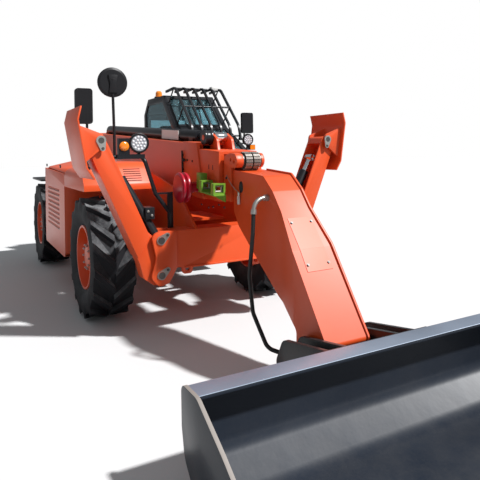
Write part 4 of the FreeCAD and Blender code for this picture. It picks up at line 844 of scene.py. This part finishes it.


# boom sides: screws of the wear pads, slots as thin dark plates of painted shade, post with its clip, pulley, plate on
# the cylinder

def makeBoomTrim():
    secondScrews = [(0.859, 1.118), (1.100, 1.117), (1.007, 1.102)]
    thirdScrews = [(1.205, 1.386), (1.285, 1.372), (1.136, 1.134), (1.239, 1.120)]
    outerScrews = [(0.560, 1.520), (0.680, 1.510), (0.560, 1.230), (0.680, 1.222)]
    shadedSlots = [(1.020, 1.462), (1.100, 1.457)]

    def screws(bm, rows, y):
        for side in (-1, 1):
            for x, z in rows:
                addBolt(bm, at(x, side * y, z), (0, side, 0), 0.008)

    # thin dark plates stand for the slots' openings: painted shade
    def slotShadeSheets(bm):
        for side in (-1, 1):
            for x, z in shadedSlots:
                addBox(bm, at(x - 0.006, side * 0.1848, z - 0.020), at(x + 0.006, side * 0.1862, z + 0.020))

    def post(bm):
        addRod(bm, at(0.452, -0.205, 1.395), at(0.446, -0.205, 1.612), 0.0085, 16)
        for z in (1.43, 1.57):
            addBox(bm, at(0.437, -0.208, z - 0.012), at(0.462, -0.1955, z + 0.012))
        addRod(bm, at(0.452, -0.205, 1.52), at(0.503, -0.203, 1.52), 0.006, 12)
        addRod(bm, at(0.503, -0.212, 1.505), at(0.503, -0.212, 1.535), 0.011, 16)

    def plate(bm):
        addBoomBox(bm, (2.84, -0.0685, 0.238), (3.35, -0.0630, 0.338))

    def clamps(bm):
        for u in (2.90, 3.29):
            addTurned(bm, [(0, 0.061), (0, 0.0655), (0.022, 0.0655), (0.022, 0.061)], onBoom(u, 0, 0.290),
                      boomDirection(1, 0), 40)

    def pulley(bm):
        profile = [(0, 0.020), (0, 0.068), (0.010, 0.068), (0.016, 0.064), (0.026, 0.0635), (0.036, 0.0635),
                   (0.046, 0.0635), (0.056, 0.064), (0.062, 0.068), (0.072, 0.068), (0.072, 0.020)]
        addTurned(bm, profile, onBoom(4.165, -0.1460, 0.290), Vector((0, 1, 0)), 40)

    makePiece("boomOuterTrim", bodyOf["boom_outer"],
              [("oiledSteel", lambda bm: screws(bm, outerScrews, 0.196)), ("blackPaint", post)])
    makePiece("cylinderPlate", bodyOf["extension_barrel"],
              [("whitePlate", plate), ("blackPaint", clamps)])
    makePiece("boomSecondTrim", bodyOf["boom_second"],
              [("oiledSteel", lambda bm: screws(bm, secondScrews, 0.185)), ("castWeight", slotShadeSheets),
               ("blackPaint", pulley)])
    makePiece("boomThirdTrim", bodyOf["boom_third"],
              [("oiledSteel", lambda bm: screws(bm, thirdScrews, 0.146))])


# rollers in the two frames of the hose guide

def makeRollers():
    def rollers(bm):
        for u in (4.516, 4.751):
            for y in (-0.305, -0.247):
                addRod(bm, onBoom(u, y, -0.142), onBoom(u, y, -0.077), 0.0085, 20)
            for v in (-0.132, -0.087):
                addRod(bm, onBoom(u, -0.315, v), onBoom(u, -0.237, v), 0.0085, 20)

    makePiece("guideRollers", bodyOf["hose_guide"], [("chainSteel", rollers)])


# hood and mudguard: louvres on the sloping front and on the pod's side, their openings dark strips of painted shade,
# latches

def makeHoodTrim():
    # thin dark strips stand for the openings of the louvres: painted shade
    def shadedSlots(bm):
        for y in (-0.62, -0.86):
            for k in range(6):
                x, z = 0.205 - 0.0165 * k, 1.327 + 0.022 * k
                addBox(bm, at(x - 0.012, y - 0.085, z - 0.004), at(x + 0.004, y + 0.085, z + 0.003))
        for k in range(9):
            z = 0.72 + 0.055 * k
            addBox(bm, at(-1.95, -1.1065, z), at(-1.15, -1.1040, z + 0.020))

    def lips(bm):
        for k in range(9):
            z = 0.72 + 0.055 * k
            addPrism(bm, [at(-1.95, -1.1040, z + 0.032), at(-1.95, -1.1040, z + 0.018), at(-1.95, -1.1130, z + 0.012)],
                     Vector((0.80, 0, 0)))

    def latches(bm):
        for x in (-2.0, -1.0):
            addBox(bm, at(x - 0.02, -1.1165, 1.440), at(x + 0.02, -1.1045, 1.475))

    makePiece("podLouvres", "chassis", [("castWeight", shadedSlots), ("orangePaint", lips)])
    makePiece("hoodLatches", bodyOf["engine_hood"], [("blackPaint", latches)], edge=0.003)


# round mirror's moulded back, lamp on the guard, beacon base, handle, rear lights and blank plates

def makeSmallTrim():
    def mirrorBack(bm):
        outline = [(-0.992, 2.275), (-0.908, 2.275), (-0.922, 2.200), (-0.912, 2.120), (-0.985, 2.120), (-0.976, 2.200)]
        addPrism(bm, [at(0.7275, y, z) for y, z in outline], Vector((0.012, 0, 0)))
        addBox(bm, at(0.7385, -0.968, 2.232), at(0.7415, -0.930, 2.238))

    def guardLamp(bm):
        addBox(bm, at(-1.505, 1.015, 2.458), at(-1.425, 1.115, 2.510))

    def beaconBase(bm):
        addTurned(bm, [(0, 0.01), (0, 0.0665), (0.026, 0.0665), (0.032, 0.050), (0.032, 0.01)], at(-2.220, 0.520, 2.400),
                  Vector((0, 0, 1)), 40)

    def rearRed(bm):
        for side in (-1, 1):
            addBox(bm, at(-4.052, side * 0.70 - 0.06, 0.93), at(-4.036, side * 0.70 + 0.06, 1.01))

    def rearAmber(bm):
        for side in (-1, 1):
            addBox(bm, at(-4.052, side * 0.57 - 0.05, 0.93), at(-4.036, side * 0.57 + 0.05, 1.01))

    def rearPlate(bm):
        addBox(bm, at(-4.044, -0.14, 0.86), at(-4.039, 0.14, 1.01))

    def handle(bm):
        addTube(bm, bentPath([at(-1.160, 1.184, 1.10), at(-1.160, 1.222, 1.10), at(-1.020, 1.222, 1.10),
                              at(-1.020, 1.184, 1.10)], 0.012, 5), 0.007, 12)

    makePiece("mirrorBack", "chassis", [("blackPlastic", mirrorBack)], edge=0.004)
    makePiece("guardLamp", "chassis", [("whitePlate", guardLamp)], edge=0.008)
    makePiece("beaconBase", "chassis", [("blackPaint", beaconBase)])
    makePiece("rearLights", "chassis", [("redLens", rearRed), ("amberLens", rearAmber),
                                                      ("whitePlate", rearPlate)], edge=0.003)
    makePiece("doorHandle", bodyOf["door_frame"], [("blackPlastic", handle)])


# seat: a crowned cushion and back on a plain base

seat = {"x": -2.120, "low": 1.315, "high": 1.405, "sides": (0.570, 1.030), "crown": 0.022}


def addCushion(bm, frontLow, rearLow, rearHigh, frontHigh, crown):
    # a block between two side outlines; its faces swell between edges that are drawn in
    before = set(bm.verts)
    y0, y1 = seat["sides"]
    addPrism(bm, [at(x, y0, z) for x, z in (frontLow, rearLow, rearHigh, frontHigh)], Vector((0, y1 - y0, 0)))
    verts = [v for v in bm.verts if v not in before]
    edges = list({e for v in verts for e in v.link_edges})
    bmesh.ops.subdivide_edges(bm, edges=edges, cuts=11, use_grid_fill=True)
    verts = [v for v in bm.verts if v not in before]
    low = [min(v.co[k] for v in verts) for k in range(3)]
    high = [max(v.co[k] for v in verts) for k in range(3)]
    middle = [(a + b) / 2 for a, b in zip(low, high)]
    half = [(b - a) / 2 for a, b in zip(low, high)]
    for v in verts:
        share = [(v.co[k] - middle[k]) / half[k] for k in range(3)]
        for k in range(3):
            a, b = (abs(share[n]) for n in range(3) if n != k)
            v.co[k] -= math.copysign(1, share[k]) * crown * abs(share[k]) * (a ** 4 + b ** 4) / 2


def makeSeat():
    x, low, high = seat["x"], seat["low"], seat["high"]

    def cloth(bm):
        crown = seat["crown"]
        addCushion(bm, (x + 0.220, low), (x - 0.230, low), (x - 0.230, high), (x + 0.220, high), crown)
        addCushion(bm, (x - 0.130, high), (x - 0.230, high), (x - 0.300, high + 0.600), (x - 0.200, high + 0.600), crown)

    def base(bm):
        addBox(bm, at(-2.140, 0.640, 0.805), at(x + 0.160, 0.960, low + 0.004))

    makePiece("seat", bodyOf["seat"], [("seatCloth", cloth), ("blackPlastic", base)], smooth=60,
              replaced=["seat"])


# windscreen wiper: spindle, arm and blade over the upper pane

screen = {"foot": (-1.311, 1.951), "along": Vector((-0.703, 0, 0.711)), "out": Vector((0.711, 0, 0.703))}


def makeWiper():
    def onScreen(up, y, out):
        x, z = screen["foot"]
        return at(x, y, z) + screen["along"] * up + screen["out"] * out

    def arm(bm):
        addRod(bm, onScreen(0, 0.800, -0.004), onScreen(0, 0.800, 0.030), 0.016, 20)
        addRod(bm, onScreen(0, 0.800, 0.024), onScreen(0.300, 0.860, 0.020), 0.006, 12)
        addRod(bm, onScreen(0.120, 0.828, 0.016), onScreen(0.500, 0.892, 0.016), 0.008, 8)

    makePiece("wiper", bodyOf["cab_shell"], [("blackPlastic", arm)])


# wheel nuts

wheels = {"fl": (0, 1), "fr": (0, -1), "rl": (-3.0, 1), "rr": (-3.0, -1)}


def makeWheelNuts():
    for code, (x, side) in wheels.items():
        centre = at(x, side * 0.905, 0.590)

        def nuts(bm):
            for k in range(10):
                angle = 2 * math.pi * k / 10
                place = centre + Vector((0.115 * math.cos(angle), side * 0.1295, 0.115 * math.sin(angle)))
                addRod(bm, place, place + Vector((0, side * 0.018, 0)), 0.012, 6)
                addRod(bm, place, place + Vector((0, side * 0.024, 0)), 0.006, 12)

        makePiece("wheelNuts" + code.capitalize(), bodyOf["rim_" + code], [("zincSteel", nuts)])


# bolts of the bucket's cutting edge

def makeBucketBolts():
    def heads(bm):
        for k in range(9):
            y = -1.12 + 0.28 * k
            for x in (3.775, 3.735):
                profile = [(0.006, 0), (0.006, 0.006), (0.003, 0.012), (-0.002, 0.014), (-0.002, 0)]
                addTurned(bm, profile, at(x, y, 0.017), Vector((0, 0, 1)), 16)

    makePiece("bucketBolts", bodyOf["bucket"], [("wornSteel", heads)])


# the free hose beside the neck, along the same points as in the part's source

hose = {"radius": 0.015, "bend": 0.095}
hoseRoute = [
    (1.925, -0.146, 1.250), (1.925, -0.250, 1.248), (1.955, -0.282, 1.000), (1.925, -0.300, 0.700),
    (1.960, -0.295, 0.440), (2.105, -0.265, 0.225), (2.225, -0.150, 0.185), (2.262, -0.060, 0.300),
    (2.262, -0.060, 0.469),
]


# fitting where the neck's hose starts

def makeHoseFitting():
    def fitting(bm):
        path = bentPath([at(*point) for point in hoseRoute], hose["bend"], 6)
        addRod(bm, at(1.925, -0.129, 1.250), at(1.925, -0.148, 1.250), 0.025, 6)
        addRod(bm, path[0], path[1], 0.0225, 6)
        addTube(bm, path[:8], 0.0165, 20)
        ahead = (path[8] - path[7]).normalized()
        addRod(bm, path[7] - ahead * 0.004, path[7] + ahead * 0.030, 0.0225, 24)

    makePiece("hoseFitting", "boom_inner", [("zincSteel", fitting)])


makeNeckTrim()
makeKeepers()
makeValves()
makeLamps()
makeMirrorGlass()
makeChains()
makeBoomTrim()
makeRollers()
makeHoodTrim()
makeSmallTrim()
makeSeat()
makeWiper()
makeWheelNuts()
makeBucketBolts()
makeHoseFitting()
print("trim")

def makeNeckHose():
    path = bentPath([at(*point) for point in hoseRoute], hose["bend"], 6)
    curve = bpy.data.curves.new("neckHose", "CURVE")
    curve.dimensions = "3D"
    curve.bevel_depth = hose["radius"]
    curve.bevel_resolution = 5
    curve.use_fill_caps = True
    line = curve.splines.new("NURBS")
    line.points.add(len(path) - 1)
    for point, place in zip(line.points, path):
        point.co = (*place, 1)
    line.order_u = 3
    line.use_endpoint_u = True
    line.resolution_u = 4
    curve.materials.append(shades["hoseRubber"])
    piece = bpy.data.objects.new("neckHose", curve)
    bpy.context.scene.collection.objects.link(piece)
    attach(piece, "boom_inner")
    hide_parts("neck_hose")


makeNeckHose()
print("neck hose")
